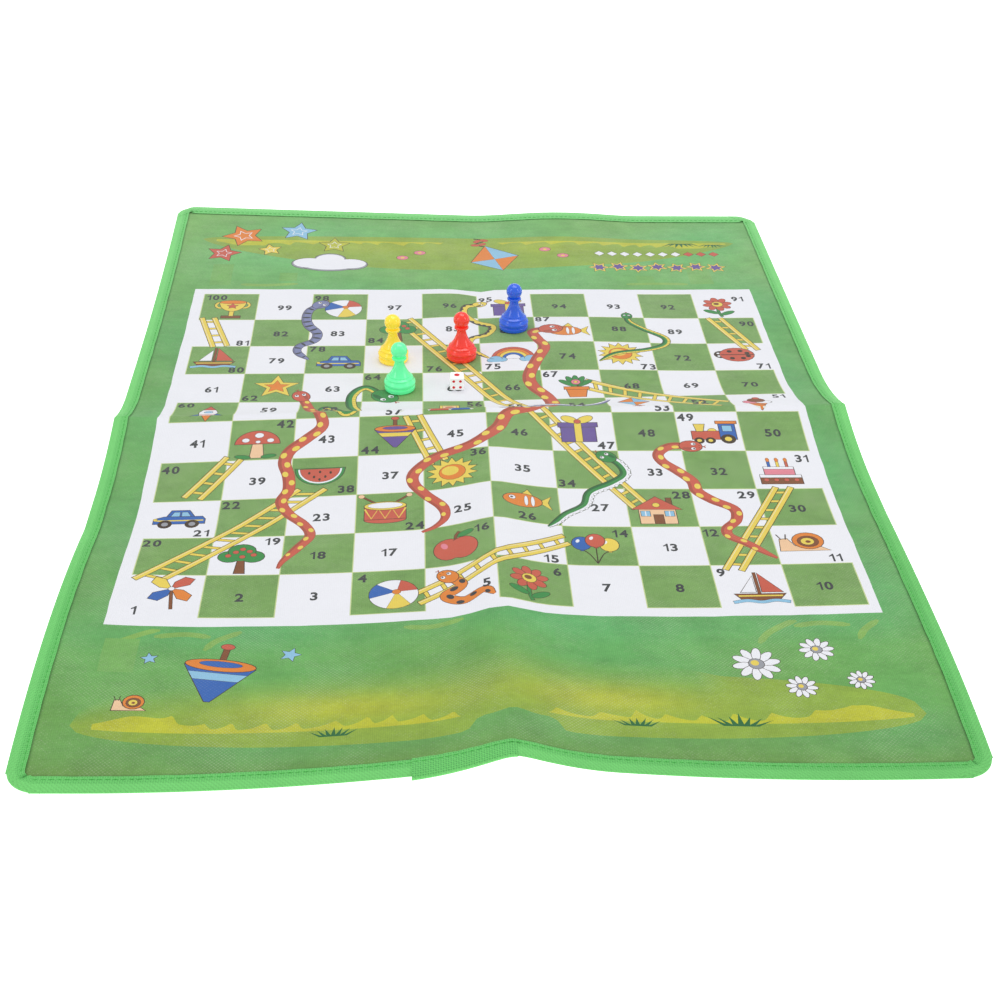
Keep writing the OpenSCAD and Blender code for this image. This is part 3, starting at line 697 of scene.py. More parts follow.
# Which figure stands in which square, and where its number goes: across and up from the middle
FIGURES = {
    1: (pinwheel, -0.36, -0.36), 4: (ball, -0.36, 0.34), 6: (flower, 0.34, 0.3), 9: (boat, -0.38, 0.32),
    11: (snail, 0.3, -0.36), 14: (balloons, 0.32, 0.32), 16: (apple, 0.32, 0.28), 19: (tree, 0.34, 0.36),
    21: (car, 0.3, -0.36), 24: (drum, 0.36, -0.38), 26: (fish, 0.0, -0.34), 28: (house, 0.34, 0.34),
    31: (cake, 0.34, 0.3), 36: (sun, 0.34, 0.38), 38: (melon, 0.34, -0.34), 42: (toadstool, 0.34, 0.38),
    44: (spinning_top, -0.32, -0.36), 47: (gift, 0.34, -0.36), 49: (engine, -0.34, 0.36),
    51: (ice_cream, 0.36, 0.36), 53: (kite, 0.32, -0.38), 56: (blocks, 0.34, 0.3), 60: (rocket, -0.34, 0.38),
    62: (gem_star, -0.34, -0.34), 67: (pot_plant, -0.34, 0.36),
    71: (ladybird, 0.36, -0.36), 73: (sun, 0.36, -0.38), 75: (rainbow, -0.3, -0.34), 78: (car, -0.32, 0.38),
    80: (boat, 0.34, -0.36), 84: (tree, -0.32, -0.3), 87: (fish, -0.34, 0.4), 91: (flower, 0.34, 0.28),
    95: (gift, -0.34, 0.32), 98: (ball, -0.34, 0.34), 100: (cup, -0.26, 0.36),
}
# Numbers of plain squares that make room for a ladder or a snake
SHIFTED = {
    5: (0.34, -0.1), 12: (-0.37, 0.33), 15: (0.28, -0.38), 20: (-0.36, 0.36), 22: (-0.34, 0.36), 25: (0.06, -0.1),
    27: (0.1, 0.0), 29: (0.32, 0.34), 30: (0.02, -0.04), 33: (0.02, -0.06), 34: (-0.34, -0.36), 40: (-0.34, 0.32),
    52: (0.0, 0.06), 54: (0.0, 0.06), 55: (0.0, 0.06), 57: (0.04, -0.38), 58: (0.0, 0.06), 59: (0.02, 0.06),
    64: (-0.34, 0.36), 65: (0.03, -0.04), 76: (-0.3, -0.36), 81: (0.36, -0.38), 85: (0.04, 0.07), 88: (0.0, 0.02),
    90: (0.34, 0.26),
}
# Where the number stands in any other plain square
PLAIN = (0.0, -0.04)
# Numbers on the ridge's slope, drawn longer so that they read from the near side
RIDGE_NUMBERS, RIDGE_STRETCH = (52, 54, 55, 56, 58, 59), 1.8
# Ladders: the two ends of the left rail and of the right rail, in squares from the near left corner
LADDERS = (
    ((0.04, 0.89), (2.14, 3.20), (0.33, 0.78), (2.53, 3.19)), ((3.84, 0.40), (6.00, 1.74), (3.92, 0.18), (6.07, 1.55)),
    ((8.20, 0.89), (9.30, 3.04), (8.42, 0.86), (9.53, 3.04)), ((0.44, 3.10), (0.99, 4.10), (0.68, 3.04), (1.21, 4.03)),
    ((7.12, 2.47), (3.53, 8.97), (7.29, 2.62), (3.78, 9.02)), ((4.12, 3.68), (3.73, 4.98), (4.34, 3.78), (3.95, 5.00)),
    ((6.74, 6.66), (8.98, 5.58), (6.77, 6.38), (8.80, 5.20)), ((9.66, 7.76), (9.17, 9.00), (9.87, 7.74), (9.40, 9.00)),
    ((0.36, 7.98), (0.05, 9.08), (0.60, 8.02), (0.27, 9.08)),
)
# Snakes from head to tail: skin, mark, kind of mark, width at the thickest, the line of the back, and for one
# of them the size of its head
SNAKES = (
    ("slate", "number", "bands", 6.4, ((2.14, 9.58), (1.96, 9.36), (1.92, 9.05), (1.98, 8.76), (2.14, 8.48),
                                       (2.10, 8.2), (1.86, 8.0), (1.84, 7.76), (2.04, 7.5))),
    ("yellow", "number", "diamonds", 5.0, ((5.04, 9.62), (4.8, 9.46), (4.76, 9.14), (4.96, 8.84), (5.24, 8.64),
                                          (5.14, 8.34), (4.86, 8.18), (4.84, 7.8), (5.14, 7.46))),
    ("leaf", "yellow", "belly", 4.6, ((7.70, 9.06), (7.72, 8.82), (7.94, 8.54), (8.28, 8.22), (8.24, 7.94),
                                      (7.9, 7.74), (7.36, 7.58), (7.04, 7.3))),
    ("red", "yellow", "spots", 8.0, ((6.26, 8.5), (5.96, 8.4), (6.02, 8.1), (6.12, 7.8), (5.96, 7.36), (5.8, 6.85),
                                     (5.84, 6.5), (6.06, 6.1), (6.1, 5.6), (5.8, 5.2), (5.36, 5.0), (5.16, 4.56),
                                     (4.76, 4.14), (4.2, 3.88), (3.88, 3.54), (3.84, 3.24), (4.02, 2.9),
                                     (4.26, 2.54), (4.3, 2.24), (4.16, 2.04), (3.96, 1.93))),
    ("leaf", "yellow", "belly", 6.0, ((3.36, 6.2), (3.06, 6.5), (2.84, 6.24), (2.84, 5.8), (2.94, 5.3), (2.76, 5.1),
                                      (2.6, 5.5), (2.42, 5.7), (2.34, 5.3)), 2.1),
    ("red", "yellow", "spots", 6.8, ((2.0, 6.2), (2.1, 5.9), (2.2, 5.5), (2.36, 5.14), (2.42, 4.8), (2.2, 4.5),
                                     (1.95, 4.2), (1.88, 3.9), (1.96, 3.55), (1.98, 3.2), (1.89, 2.9), (2.02, 2.58),
                                     (2.26, 2.28), (2.36, 1.98), (2.2, 1.66), (2.02, 1.34), (1.96, 1.15))),
    ("slate", "paper", "belly", 5.6, ((4.96, 5.4), (5.24, 5.22), (5.56, 5.3), (5.84, 5.58), (6.2, 5.6), (6.52, 5.42),
                                      (6.84, 5.6), (7.06, 5.88))),
    ("red", "yellow", "spots", 6.6, ((8.14, 4.12), (7.84, 4.12), (7.63, 3.94), (7.66, 3.72), (7.88, 3.46),
                                     (8.06, 3.2), (8.1, 2.94), (8.3, 2.7), (8.58, 2.46), (8.56, 2.16), (8.39, 1.94),
                                     (8.4, 1.74), (8.62, 1.54), (8.84, 1.3), (8.98, 1.16))),
    ("leaf", "paper", "scallops", 6.2, ((6.82, 3.84), (7.0, 3.66), (7.06, 3.38), (6.84, 3.14), (6.5, 2.9),
                                        (6.38, 2.56), (6.1, 2.32), (5.94, 2.1), (5.8, 1.94))),
    ("orange", "number", "spots", 6.2, ((4.32, 0.74), (4.5, 0.5), (4.28, 0.3), (4.52, 0.14), (4.8, 0.26),
                                        (4.94, 0.1))),
)


def board_place(col, row):
    """Millimetres on the sheet of a place in squares from the board's near left corner."""
    return (mm("print_x") + (col - 5)*mm("square"), mm("print_y") + (row - 5)*mm("square"))


def square_of(number):
    """Column and row of a numbered square: the count runs to and fro from the near left."""
    row, step = divmod(number - 1, 10)
    return (step if row % 2 == 0 else 9 - step), row


# The two meadow bands in the margins: the middle line, the way that the wide side faces, the thickness
# on that side and on the other, the place of the bright streak's smooth line, and whether the wide side fades
MEADOWS = ((-261.0, 1, 38.0, 17.0, 6.5, True), (252.0, -1, 43.0, 8.5, 1.0, False))
MEADOW_HALF = 188.0


def meadow_swell(x):
    """Thickness of a meadow band along its length, from 0 at its tips to 1."""
    return np.sqrt(np.clip(1 - (np.asarray(x)/MEADOW_HALF)**2, 0, 1))


def meadow(pen, middle, up, thick, thin, streak, fades, seed):
    """A long band of meadow in a margin, with a bright streak that rises in curling crests."""
    rng = random.Random(seed)
    x = np.linspace(-MEADOW_HALF, MEADOW_HALF, 110)
    swell = meadow_swell(x)
    notch = np.clip(1 - np.abs((x - 5)/21)**6, 0, 1)*(0.5 + 0.05*np.sin(x/3))
    wide = thick*(1 - 0.22*np.clip((x - 70)/30, 0, 1)) if fades else thick
    top = np.stack([x, middle + up*(wide*swell**(0.8 if fades else 1.5) + 0.8*np.sin(x/29 + seed)*swell)], 1)
    low = np.stack([x, middle - up*thin*(swell**0.9 - (notch if fades else 0))], 1)
    pen.shape(np.vstack([top, low[::-1]]), "body", 0)
    # The streak: a smooth lower line, and crests that lean towards the middle
    for side, reach in ((-1, 0.95), (1, 0.97)):
        a = np.linspace(0.1, reach, 130)*MEADOW_HALF
        swell = meadow_swell(a)
        crest, at = np.zeros_like(a), a[0]
        while at < a[-1] - 6:
            wide, tall = rng.uniform(12, 22), rng.uniform(3.0, 5.5)
            u = (a - at)/wide
            fin = np.where(u < 0.2, np.clip(u/0.2, 0, 1)**1.6, np.clip((1 - u)/0.8, 0, 1)**2.3)
            crest = np.maximum(crest, tall*fin*((u >= 0) & (u <= 1)))
            at += wide*rng.uniform(0.8, 0.97)
        floor = middle - up*streak*swell
        body = (2.2 + 0.6*np.sin(a/19 + 2*seed))*np.clip((a - a[0])/30, 0, 1) + 7.0*np.exp(-((a - 160)/20)**2)
        roof = floor + up*(body + crest*np.clip((158 - a)/14, 0, 1))*np.clip(swell/0.5, 0, 1)
        pen.shape(np.vstack([np.stack([side*a, roof], 1), np.stack([side*a, floor], 1)[::-1]]), "meadow", 0)


def margin_tints(x, y):
    """Scene colours of the open margin and of the meadow at places on the sheet, as washes of ink."""
    values = ink_values()
    green, olive, cool = (np.array(values[n][:3]) for n in ("margin", "olive", "cool"))
    body, bright = np.array(values["shade"][:3]), np.array(values["meadow"][:3])
    half_w, half_l = mm("width")/2 - mm("tape"), mm("reach")/2 - mm("tape")
    inset = np.minimum(half_w - np.abs(x), half_l - np.abs(y))
    wave = 0.5 + 0.25*np.sin(x/23 + 0.7*np.sin(y/31)) + 0.25*np.sin(y/17 + 1.3*np.sin(x/41))
    mix = lambda a, b, t: a + (b - a)*np.clip(t, 0, 1)[:, None]
    open_margin = mix(np.tile(green, (len(x), 1)), cool, 0.75*wave)
    open_margin = mix(open_margin, olive, 0.2*np.exp(-np.maximum(inset, 0)/16) + 0.2*(1 - wave)
                      + 0.6*np.exp(-np.maximum(y + half_l, 0)/24))
    open_margin = open_margin*(1 + np.array([0.32, 0.12, 0.12])*np.clip((y - 150)/60, 0, 1)[:, None])
    near = np.clip((-200 - y)/15, 0, 1)*np.clip((y + 275)/20, 0, 1)
    open_margin = open_margin*(1 + np.array([0.08, 0.0, -0.15])*near[:, None])
    grown_over = open_margin.copy()
    for middle, up, thick, _, _, fades in MEADOWS:
        swell = np.maximum(meadow_swell(x), 0.02)
        t = up*(y - middle)/(thick*swell**0.8)
        # The fading side is crisp at the band's right end
        fade = 1 - np.clip((t - 0.1)/0.85, 0, 1)**1.1*np.clip((104 - x)/16, 0, 1)
        inside = np.where((t > 0) & fades, fade, 1.0)*(np.abs(y - middle) < 50)
        grown_over = mix(grown_over, body, inside)
        for glow_x, wide in ((-70, 48), (48, 40)):
            glow = np.exp(-((x - glow_x)/wide)**2 - ((y - middle - 8*up)/10)**2)
            grown_over = mix(grown_over, bright, (0.75 if fades else 0.3)*glow)
    return open_margin, grown_over


def tuft(pen, x, y, size, flip=1):
    """A tuft of seven blades of grass."""
    rng = random.Random(int(x*7 + y*3))
    for k in range(7):
        lean = (k - 3)*0.34 + rng.uniform(-0.1, 0.1)
        root = (k - 3)*0.26
        tall = 1.0 - 0.12*abs(k - 3) + rng.uniform(-0.14, 0.1)
        pen.at(x, y, size).shape([(root - 0.2, 0), (root + 0.2, 0), (root + lean, flip*tall)], "grass", 0)


# Faint brush strokes beside the board's corners, and faint blocks: the middle and half of each side
BRUSHES = (
    ((-181, -212), (-176, -205), (-164, -197), (-158, -195)), ((-160, -200), (-146, -198), (-134, -200)),
    ((-136, -210), (-131, -203), (-120, -196)), ((122, -211), (128, -203), (138, -196), (143, -194)),
    ((141, -198), (154, -196), (168, -198)), ((170, -209), (174, -202), (182, -195)),
    ((-44, -197), (-30, -199), (-16, -197)), ((-156, 187), (-140, 186), (-118, 188)),
    ((104, 186), (124, 187), (146, 186)),
)
WASHES = ((-170, 201, 7, 15), (-125, 198, 6, 6), (156, 200, 8, 14), (118, 194, 6, 5), (-174, -214, 8, 12))


def margin_figures(pen):
    """Loose figures in the two margins beside the board."""
    for seed, band in enumerate(MEADOWS):
        meadow(pen, *band, seed + 3)
    for points in BRUSHES:
        path, run = even_path(smooth_path(points, 8), 1.5)
        pen.shape(ribbon(path, 3.6*np.clip(np.minimum(run, run[-1] - run)/3, 0.3, 1)**0.6), "brush", 0)
    for x, y, rx, ry in WASHES:
        pen.shape(smooth_frame(x - rx, y - ry, x + rx, y + ry), "wash", 0)
    # A blue top and a small brown snail on the near left
    spinning_top(pen.at(-128, -226, 20, -9), "blue", "sky")
    pen.star(-96, -214, 5, 0.45, 5, "sky", 70, 0.3)
    pen.star(-160, -216, 4, 0.45, 5, "sky", 100, 0.3)
    snail(pen.at(-164, -246, 8))
    # White daisies on the near right
    for x, y, r in ((118, -226, 11), (148, -216, 8), (136, -242, 7), (164, -238, 6)):
        for k in range(10):
            a = math.radians(36*k + x)
            pen.oval(x + 0.62*r*math.cos(a), y + 0.62*r*math.sin(a), 0.42*r, 0.19*r, "paper", 36*k + x, 0.3)
        pen.oval(x, y, 0.33*r, 0.33*r, "grey", line=0.3)
        pen.oval(x - 0.06*r, y + 0.06*r, 0.18*r, 0.18*r, "yellow", line=0)
    for x, y, size in ((58, -270, 6), (104, -268, 8), (-74, -271, 6)):
        tuft(pen, x, y, size)
    # Bright stars and a pale cloud on the far left
    for x, y, r, ink in ((-160, 258, 15, "orange"), (-122, 266, 13, "sky"), (-172, 232, 12, "red"),
                         (-96, 246, 11, "meadow"), (-140, 238, 8, "yellow")):
        for share, layer, line in ((1, ink, 0.5), (0.5, "paper", 0), (0.42, ink, 0)):
            pen.star(x, y, r*share, 0.5, 5, layer, 90 + 3*x, line)
    for x, y, rx, ry in ((-112, 218, 12, 8), (-98, 224, 11, 9), (-84, 217, 12, 8), (-98, 214, 18, 7)):
        pen.oval(x, y, rx, ry, "grey")
    for x, y, rx, ry in ((-112, 219, 11, 7), (-98, 224, 10, 8), (-84, 218, 11, 7), (-98, 215, 17, 6)):
        pen.oval(x, y, rx, ry, "paper", line=0)
    # A kite in the middle
    kite(pen.at(14, 234, 26, 196))
    for x, y in ((-36, 236), (-48, 228), (52, 240), (64, 230)):
        pen.oval(x, y, 4, 3, "pink", line=0.3)
        pen.oval(x, y, 1.4, 1.1, "yellow", line=0)
    # Two rows of ornaments on the far right
    for k in range(7):
        for r, ink, line in ((7.4, "yellow", 0.3), (5.2, "purple", 0)):
            pen.star(88 + 13.5*k, 212 + (1.5 if k % 2 else 0), r, 0.52, 6, ink, 12*k, line)
    for k in range(10):
        ink = "red" if k > 6 else "paper"
        pen.at(90 + 9*k, 234, 4.0, 45).box(-0.62, -0.62, 0.62, 0.62, ink, 0.25)
    tuft(pen, 150, 252, 8, -1)
    tuft(pen, 172, 250, 6, -1)


def draw_ladder(pen, rails):
    """Two rails with rungs between them, each with a dark edge."""
    a0, a1, b0, b1 = (np.array(board_place(*p)) for p in rails)
    count = max(3, int(np.linalg.norm(a1 - a0)/9.2))
    for k in range(count):
        t = (k + 0.6)/(count + 0.2)
        pen.stroke([tuple(a0 + (a1 - a0)*t), tuple(b0 + (b1 - b0)*t)], 1.9, "yellow", 0.35, False)
    for p, q in ((a0, a1), (b0, b1)):
        rail, _ = even_path([p, q], 8.0)
        pen.stroke(rail, 3.15, "yellow", 0.38, False)
        out = np.array([-(q - p)[1], (q - p)[0]])/np.linalg.norm(q - p)*0.75
        pen.stroke(rail + out, 0.4, "pale", 0, False)


# Distance between a snake's marks, as a share of its width
MARK_STEPS = {"spots": 1.25, "bands": 0.95, "diamonds": 0.9, "belly": 0.62, "scallops": 0.62}


def draw_snake(pen, skin, mark, kind, wide, back, head=1.35):
    """A snake along its back line, thick behind the head, with a short thin tail."""
    path, run = even_path(smooth_path([board_place(*p) for p in back], 10), 1.2)
    share = run/run[-1]
    tail = np.clip((1.01 - share)/0.1, 0.1, 1)**0.6
    widths = wide*np.minimum(0.78 + 0.6*share, 1.0)*np.minimum(1.25 - 0.6*share, 1.0)*tail
    side = side_vectors(path)
    shade = {"red": "wine", "leaf": "grass", "slate": "dusk", "yellow": "number"}.get(skin, "orange")
    pen.shape(ribbon(path, widths + 0.7), "wine" if skin == "red" else "line", 0)
    pen.shape(ribbon(path, widths), skin, 0)
    pen.shape(ribbon(path - side*widths[:, None]*0.37, widths*0.24), shade, 0)
    if kind in ("belly", "scallops"):
        pen.shape(ribbon(path + side*widths[:, None]*0.3, widths*0.36), mark, 0)
    for at in np.arange(wide*1.3, run[-1]*0.95, wide*MARK_STEPS[kind]):
        k = int(np.argmin(np.abs(run - at)))
        w, (x, y), s = widths[k], path[k], side[k]
        turn = math.degrees(math.atan2(s[1], s[0]))
        if kind == "spots":
            off = 0.22*w*(1 if int(at/wide/MARK_STEPS[kind]) % 2 else -1)
            pen.oval(x + s[0]*off, y + s[1]*off, w*0.26, w*0.39, mark, turn, 0)
        elif kind == "bands":
            pen.oval(x, y, w*0.47, w*0.17, mark, turn, 0)
        elif kind == "diamonds":
            q = pen.at(x - s[0]*w*0.26, y - s[1]*w*0.26, 1, turn)
            q.shape([(w*0.26, 0), (0, w*0.4), (-w*0.22, 0), (0, -w*0.4)], mark, 0)
        elif kind == "scallops":
            pen.oval(x + s[0]*w*0.46, y + s[1]*w*0.46, w*0.15, w*0.17, mark, turn, 0.14)
        else:
            q = pen.at(x + s[0]*w*0.3, y + s[1]*w*0.3, 1, turn)
            q.box(-0.16*w, -0.1, 0.16*w, 0.1, "line", 0)
    # The head, a blunt oval with two eyes and a forked tongue
    d = path[0] - path[4]
    turn = math.degrees(math.atan2(d[1], d[0]))
    q = pen.at(path[0][0], path[0][1], wide*head, turn)
    q.stroke([(0.5, 0), (0.88, 0.0)], 0.06, "red", 0.12, False)
    for s in (1, -1):
        q.stroke([(0.86, 0), (1.0, 0.1*s)], 0.05, "red", 0.1, False)
    q.oval(0.06, 0, 0.72, 0.56, skin, line=0.4)
    q.oval(-0.1, -0.26, 0.4, 0.14, shade, line=0)
    for s in (-1, 1):
        q.oval(0.22, s*0.24, 0.15, 0.13, "paper", line=0.2)
        q.oval(0.27, s*0.24, 0.07, 0.07, "line", line=0)
        q.oval(0.6, s*0.12, 0.035, 0.035, "line", line=0)


def digit_meshes():
    """Each digit as flat triangles one unit high, with the width it takes."""
    glyphs = {}
    for digit in "0123456789":
        bpy.ops.object.select_all(action="DESELECT")
        bpy.ops.object.text_add()
        text = bpy.context.object
        text.data.body = digit
        text.data.size = 1.0
        text.data.resolution_u = 4
        text.data.offset = 0.034
        bpy.ops.object.convert(target="MESH")
        mesh = bpy.context.object.data
        mesh.calc_loop_triangles()
        points = np.array([v.co[:2] for v in mesh.vertices])
        triangles = [tuple(t.vertices) for t in mesh.loop_triangles]
        low, high = points.min(0), points.max(0)
        tall = high[1] - low[1]
        glyphs[digit] = ((points - low)/tall, triangles, (high[0] - low[0])/tall)
        bpy.ops.object.delete()
    # The one has a flag on its stem
    one = np.array([(0.26, 0), (0.42, 0), (0.42, 1), (0.3, 1), (0.2, 0.86), (0.02, 0.76), (0.02, 0.62), (0.26, 0.72)])
    glyphs["1"] = (one, [tuple(range(len(one)))], 0.44)
    return glyphs


def draw_number(faces, glyphs, number, x, y):
    """Adds a number's triangles, centred on a place. Its digits are a little narrow, and longer on the ridge."""
    tall, gap, squeeze = 6.9, 0.14, 0.94
    stretch = RIDGE_STRETCH if number in RIDGE_NUMBERS else 1.0
    wide = sum(glyphs[d][2]*squeeze for d in str(number)) + gap*(len(str(number)) - 1)
    at = x - wide*tall/2
    for d in str(number):
        points, triangles, w = glyphs[d]
        placed = points*(tall*squeeze, tall*stretch) + (at, y - tall*stretch/2)
        faces.extend((placed[list(t)], "number") for t in triangles)
        at += (w*squeeze + gap)*tall


def board_shapes():
    """Every inked shape of the print, in order from the cloth up."""
    shapes = []
    pen = Pen(shapes)
    margin_figures(pen)
    margin = len(shapes)
    edge = mm("border")
    (x0, y0), (x1, y1) = board_place(0, 0), board_place(10, 10)
    frame_points = smooth_frame(x0 - edge, y0 - edge, x1 + edge - 2, y1 + edge)
    pen.shape(frame_points, "paper", 0)
    glyphs = digit_meshes()
    for number in range(1, 101):
        if number % 2 == 0:
            col, row = square_of(number)
            for grow, ink in ((0.25, "fringe"), (-0.3, "square")):
                (ax, ay), (bx, by) = board_place(col, row), board_place(col + 1, row + 1)
                ax, ay, bx, by = ax - grow, ay - grow, bx + grow, by + grow
                corners = np.array([(ax, ay), (bx, ay), (bx, by), (ax, by), (ax, ay)])
                sides = [np.linspace(p, q, 6, endpoint=False) for p, q in zip(corners[:-1], corners[1:])]
                pen.shape(np.vstack(sides), ink, 0)
    for rails in LADDERS:
        draw_ladder(pen, rails)
    for number, (figure, across, up) in FIGURES.items():
        col, row = square_of(number)
        x, y = board_place(col + 0.5 - across*0.2, row + 0.5 - up*0.2)
        figure(pen.at(x, y, mm("square")*0.385))
    for snake in SNAKES:
        draw_snake(pen, *snake)
    for number in range(1, 101):
        col, row = square_of(number)
        across, up = FIGURES[number][1:] if number in FIGURES else SHIFTED.get(number, PLAIN)
        draw_number(shapes, glyphs, number, *board_place(col + 0.5 + across, row + 0.5 + up))
    drape = Drape()
    return shapes[:margin] + [(drape(points), ink) for points, ink in shapes[margin:]]


def smooth_frame(x0, y0, x1, y1):
    """A rectangle with many points and slightly uneven sides, as a print has."""
    pitch, uneven = 9.0, 0.25
    rng = random.Random(4)
    corners = ((x0, y0), (x1, y0), (x1, y1), (x0, y1))
    ring = []
    for (ax, ay), (bx, by) in zip(corners, corners[1:] + corners[:1]):
        count = int(max(abs(bx - ax), abs(by - ay))/pitch)
        for k in range(count):
            t = k/count
            shift = rng.uniform(-uneven, uneven) if k else 0
            across = (shift, 0) if ax == bx else (0, shift)
            ring.append((ax + (bx - ax)*t + across[0], ay + (by - ay)*t + across[1]))
    return ring


def ink_values():
    """Ink name to scene colour. The fourth value says how much the cloth's mottling shows."""
    inks = settings("inks")
    values = {name: linear(getattr(inks, name), 0.35) for name in Inks.__annotations__}
    for name in ("margin", "square", "meadow", "shade", "olive", "cool"):
        values[name] = values[name][:3] + (1.0,)
    values["paper"] = values["paper"][:3] + (0.1,)
    values["back"] = values["back"][:3] + (0.1,)
    mixed = lambda a, b, t: tuple(p + (q - p)*t for p, q in zip(values[a], values[b]))
    values["body"] = values["shade"]
    values["brush"] = mixed("margin", "meadow", 0.26)
    values["wash"] = mixed("margin", "meadow", 0.13)
    values["dusk"] = mixed("slate", "line", 0.3)
    values["wine"] = mixed("red", "line", 0.35)
    values["pale"] = mixed("yellow", "paper", 0.5)
    return values


# Meshes

def add_object(name, data):
    """A new object in the scene."""
    obj = bpy.data.objects.new(name, data)
    bpy.context.scene.collection.objects.link(obj)
    return obj


def new_object(name, points_mm, faces):
    """A smooth object at the origin whose place is in its mesh."""
    mesh = bpy.data.meshes.new(name)
    mesh.from_pydata([tuple(p) for p in np.asarray(points_mm, float)/1000], [], [tuple(f) for f in faces])
    mesh.polygons.foreach_set("use_smooth", [True]*len(mesh.polygons))
    return add_object(name, mesh)


def only(obj):
    """Leaves one object selected and active."""
    bpy.ops.object.select_all(action="DESELECT")
    obj.select_set(True)
    bpy.context.view_layer.objects.active = obj


def outward_normals(obj):
    """Turns every face of a closed mesh outwards."""
    only(obj)
    bpy.ops.object.mode_set(mode="EDIT")
    bpy.ops.mesh.select_all(action="SELECT")
    bpy.ops.mesh.normals_make_consistent(inside=False)
    bpy.ops.object.mode_set(mode="OBJECT")


def edge_stations(pitch):
    """Points round the mat's edge: the outer line, the tape's inner line, the run along it, and how
    far round a corner each point is, from 0 to 1, or -1 on the straight sides."""
    half_w, half_l, radius, tape = mm("width")/2, mm("reach")/2, mm("corner"), mm("tape")
    lead, bend, steps = 4.0, 2.0, 26
    outer, inner, round_corner = [], [], []
    for quarter in range(4):
        # Each quarter runs along one side and round the corner at its end, counter-clockwise from the right
        turn = quarter*90
        c, s = round(math.cos(math.radians(turn))), round(math.sin(math.radians(turn)))
        hw, hl = (half_w, half_l) if quarter % 2 == 0 else (half_l, half_w)
        stop = hl - tape - bend
        count = int(2*stop/pitch)
        local_o = [(hw, -stop + 2*stop*k/count) for k in range(count + 1)]
        local_i = [(hw - tape, y) for _, y in local_o]
        for k in range(1, steps):
            t = k/steps
            along = t*(2*lead + math.pi/2*radius)
            a = min(max((along - lead)/radius, 0), math.pi/2)
            before, after = max(lead - along, 0), max(along - lead - math.pi/2*radius, 0)
            local_o.append((hw - radius*(1 - math.cos(a)) - after, hl - radius*(1 - math.sin(a)) - before))
            b = t*math.pi/2
            local_i.append((hw - tape - bend*(1 - math.cos(b)), hl - tape - bend*(1 - math.sin(b))))
        outer += [(x*c - y*s, x*s + y*c) for x, y in local_o]
        inner += [(x*c - y*s, x*s + y*c) for x, y in local_i]
        round_corner += [-1.0]*(count + 1) + [k/steps for k in range(1, steps)]
    outer, inner = np.array(outer), np.array(inner)
    middle = (outer + inner)/2
    run = np.concatenate([[0], np.cumsum(np.linalg.norm(np.diff(middle, axis=0), axis=1))])
    return outer, inner, run, np.array(round_corner)


def tape_shares(outer):
    """Width of the tape that shows at points of the mat's edge, as a share of its whole width."""
    x, y = np.abs(outer[:, 0]), outer[:, 1]
    edges = ((mm("width")/2 - x, "tape_side"), (mm("reach")/2 + y, "tape_near"), (mm("reach")/2 - y, "tape_far"))
    near_by = [np.exp(-distance/4) for distance, _ in edges]
    return sum(w*mm(name) for w, (_, name) in zip(near_by, edges))/sum(near_by)/mm("tape")


def wander(run, total, seed, waves):
    """A smooth seeded wave along a closed run, within about one unit."""
    rng = random.Random(seed)
    value = np.zeros_like(run)
    for k in waves:
        value += rng.uniform(0.5, 1)*np.sin(2*math.pi*k*run/total + rng.uniform(0, 6.28))
    return value/len(waves)


def add_uv(mesh, name, values):
    layer = mesh.uv_layers.new(name=name)
    layer.data.foreach_set("uv", np.asarray(values, np.float32).ravel())


def loop_vertices(mesh):
    index = np.empty(len(mesh.loops), np.int32)
    mesh.loops.foreach_get("vertex_index", index)
    return index


# Materials

class Value:
    """A shader socket that takes part in Python sums."""

    def __init__(self, finish, socket):
        self.finish, self.socket = finish, socket

    def math(self, operation, *others):
        return self.finish.add("ShaderNodeMath", {"operation": operation}, self, *others)

    def __add__(self, other): return self.math("ADD", other)
    __radd__ = __add__

    def __mul__(self, other): return self.math("MULTIPLY", other)
    __rmul__ = __mul__

    def __sub__(self, other): return self.math("SUBTRACT", other)

    def __rsub__(self, other): return self.finish.add("ShaderNodeMath", {"operation": "SUBTRACT"}, other, self)

    def __truediv__(self, other): return self.math("DIVIDE", other)

    def __abs__(self): return self.math("ABSOLUTE")

    def sine(self): return self.math("SINE")

    def clamp(self):
        return self.finish.add("ShaderNodeClamp", None, self)


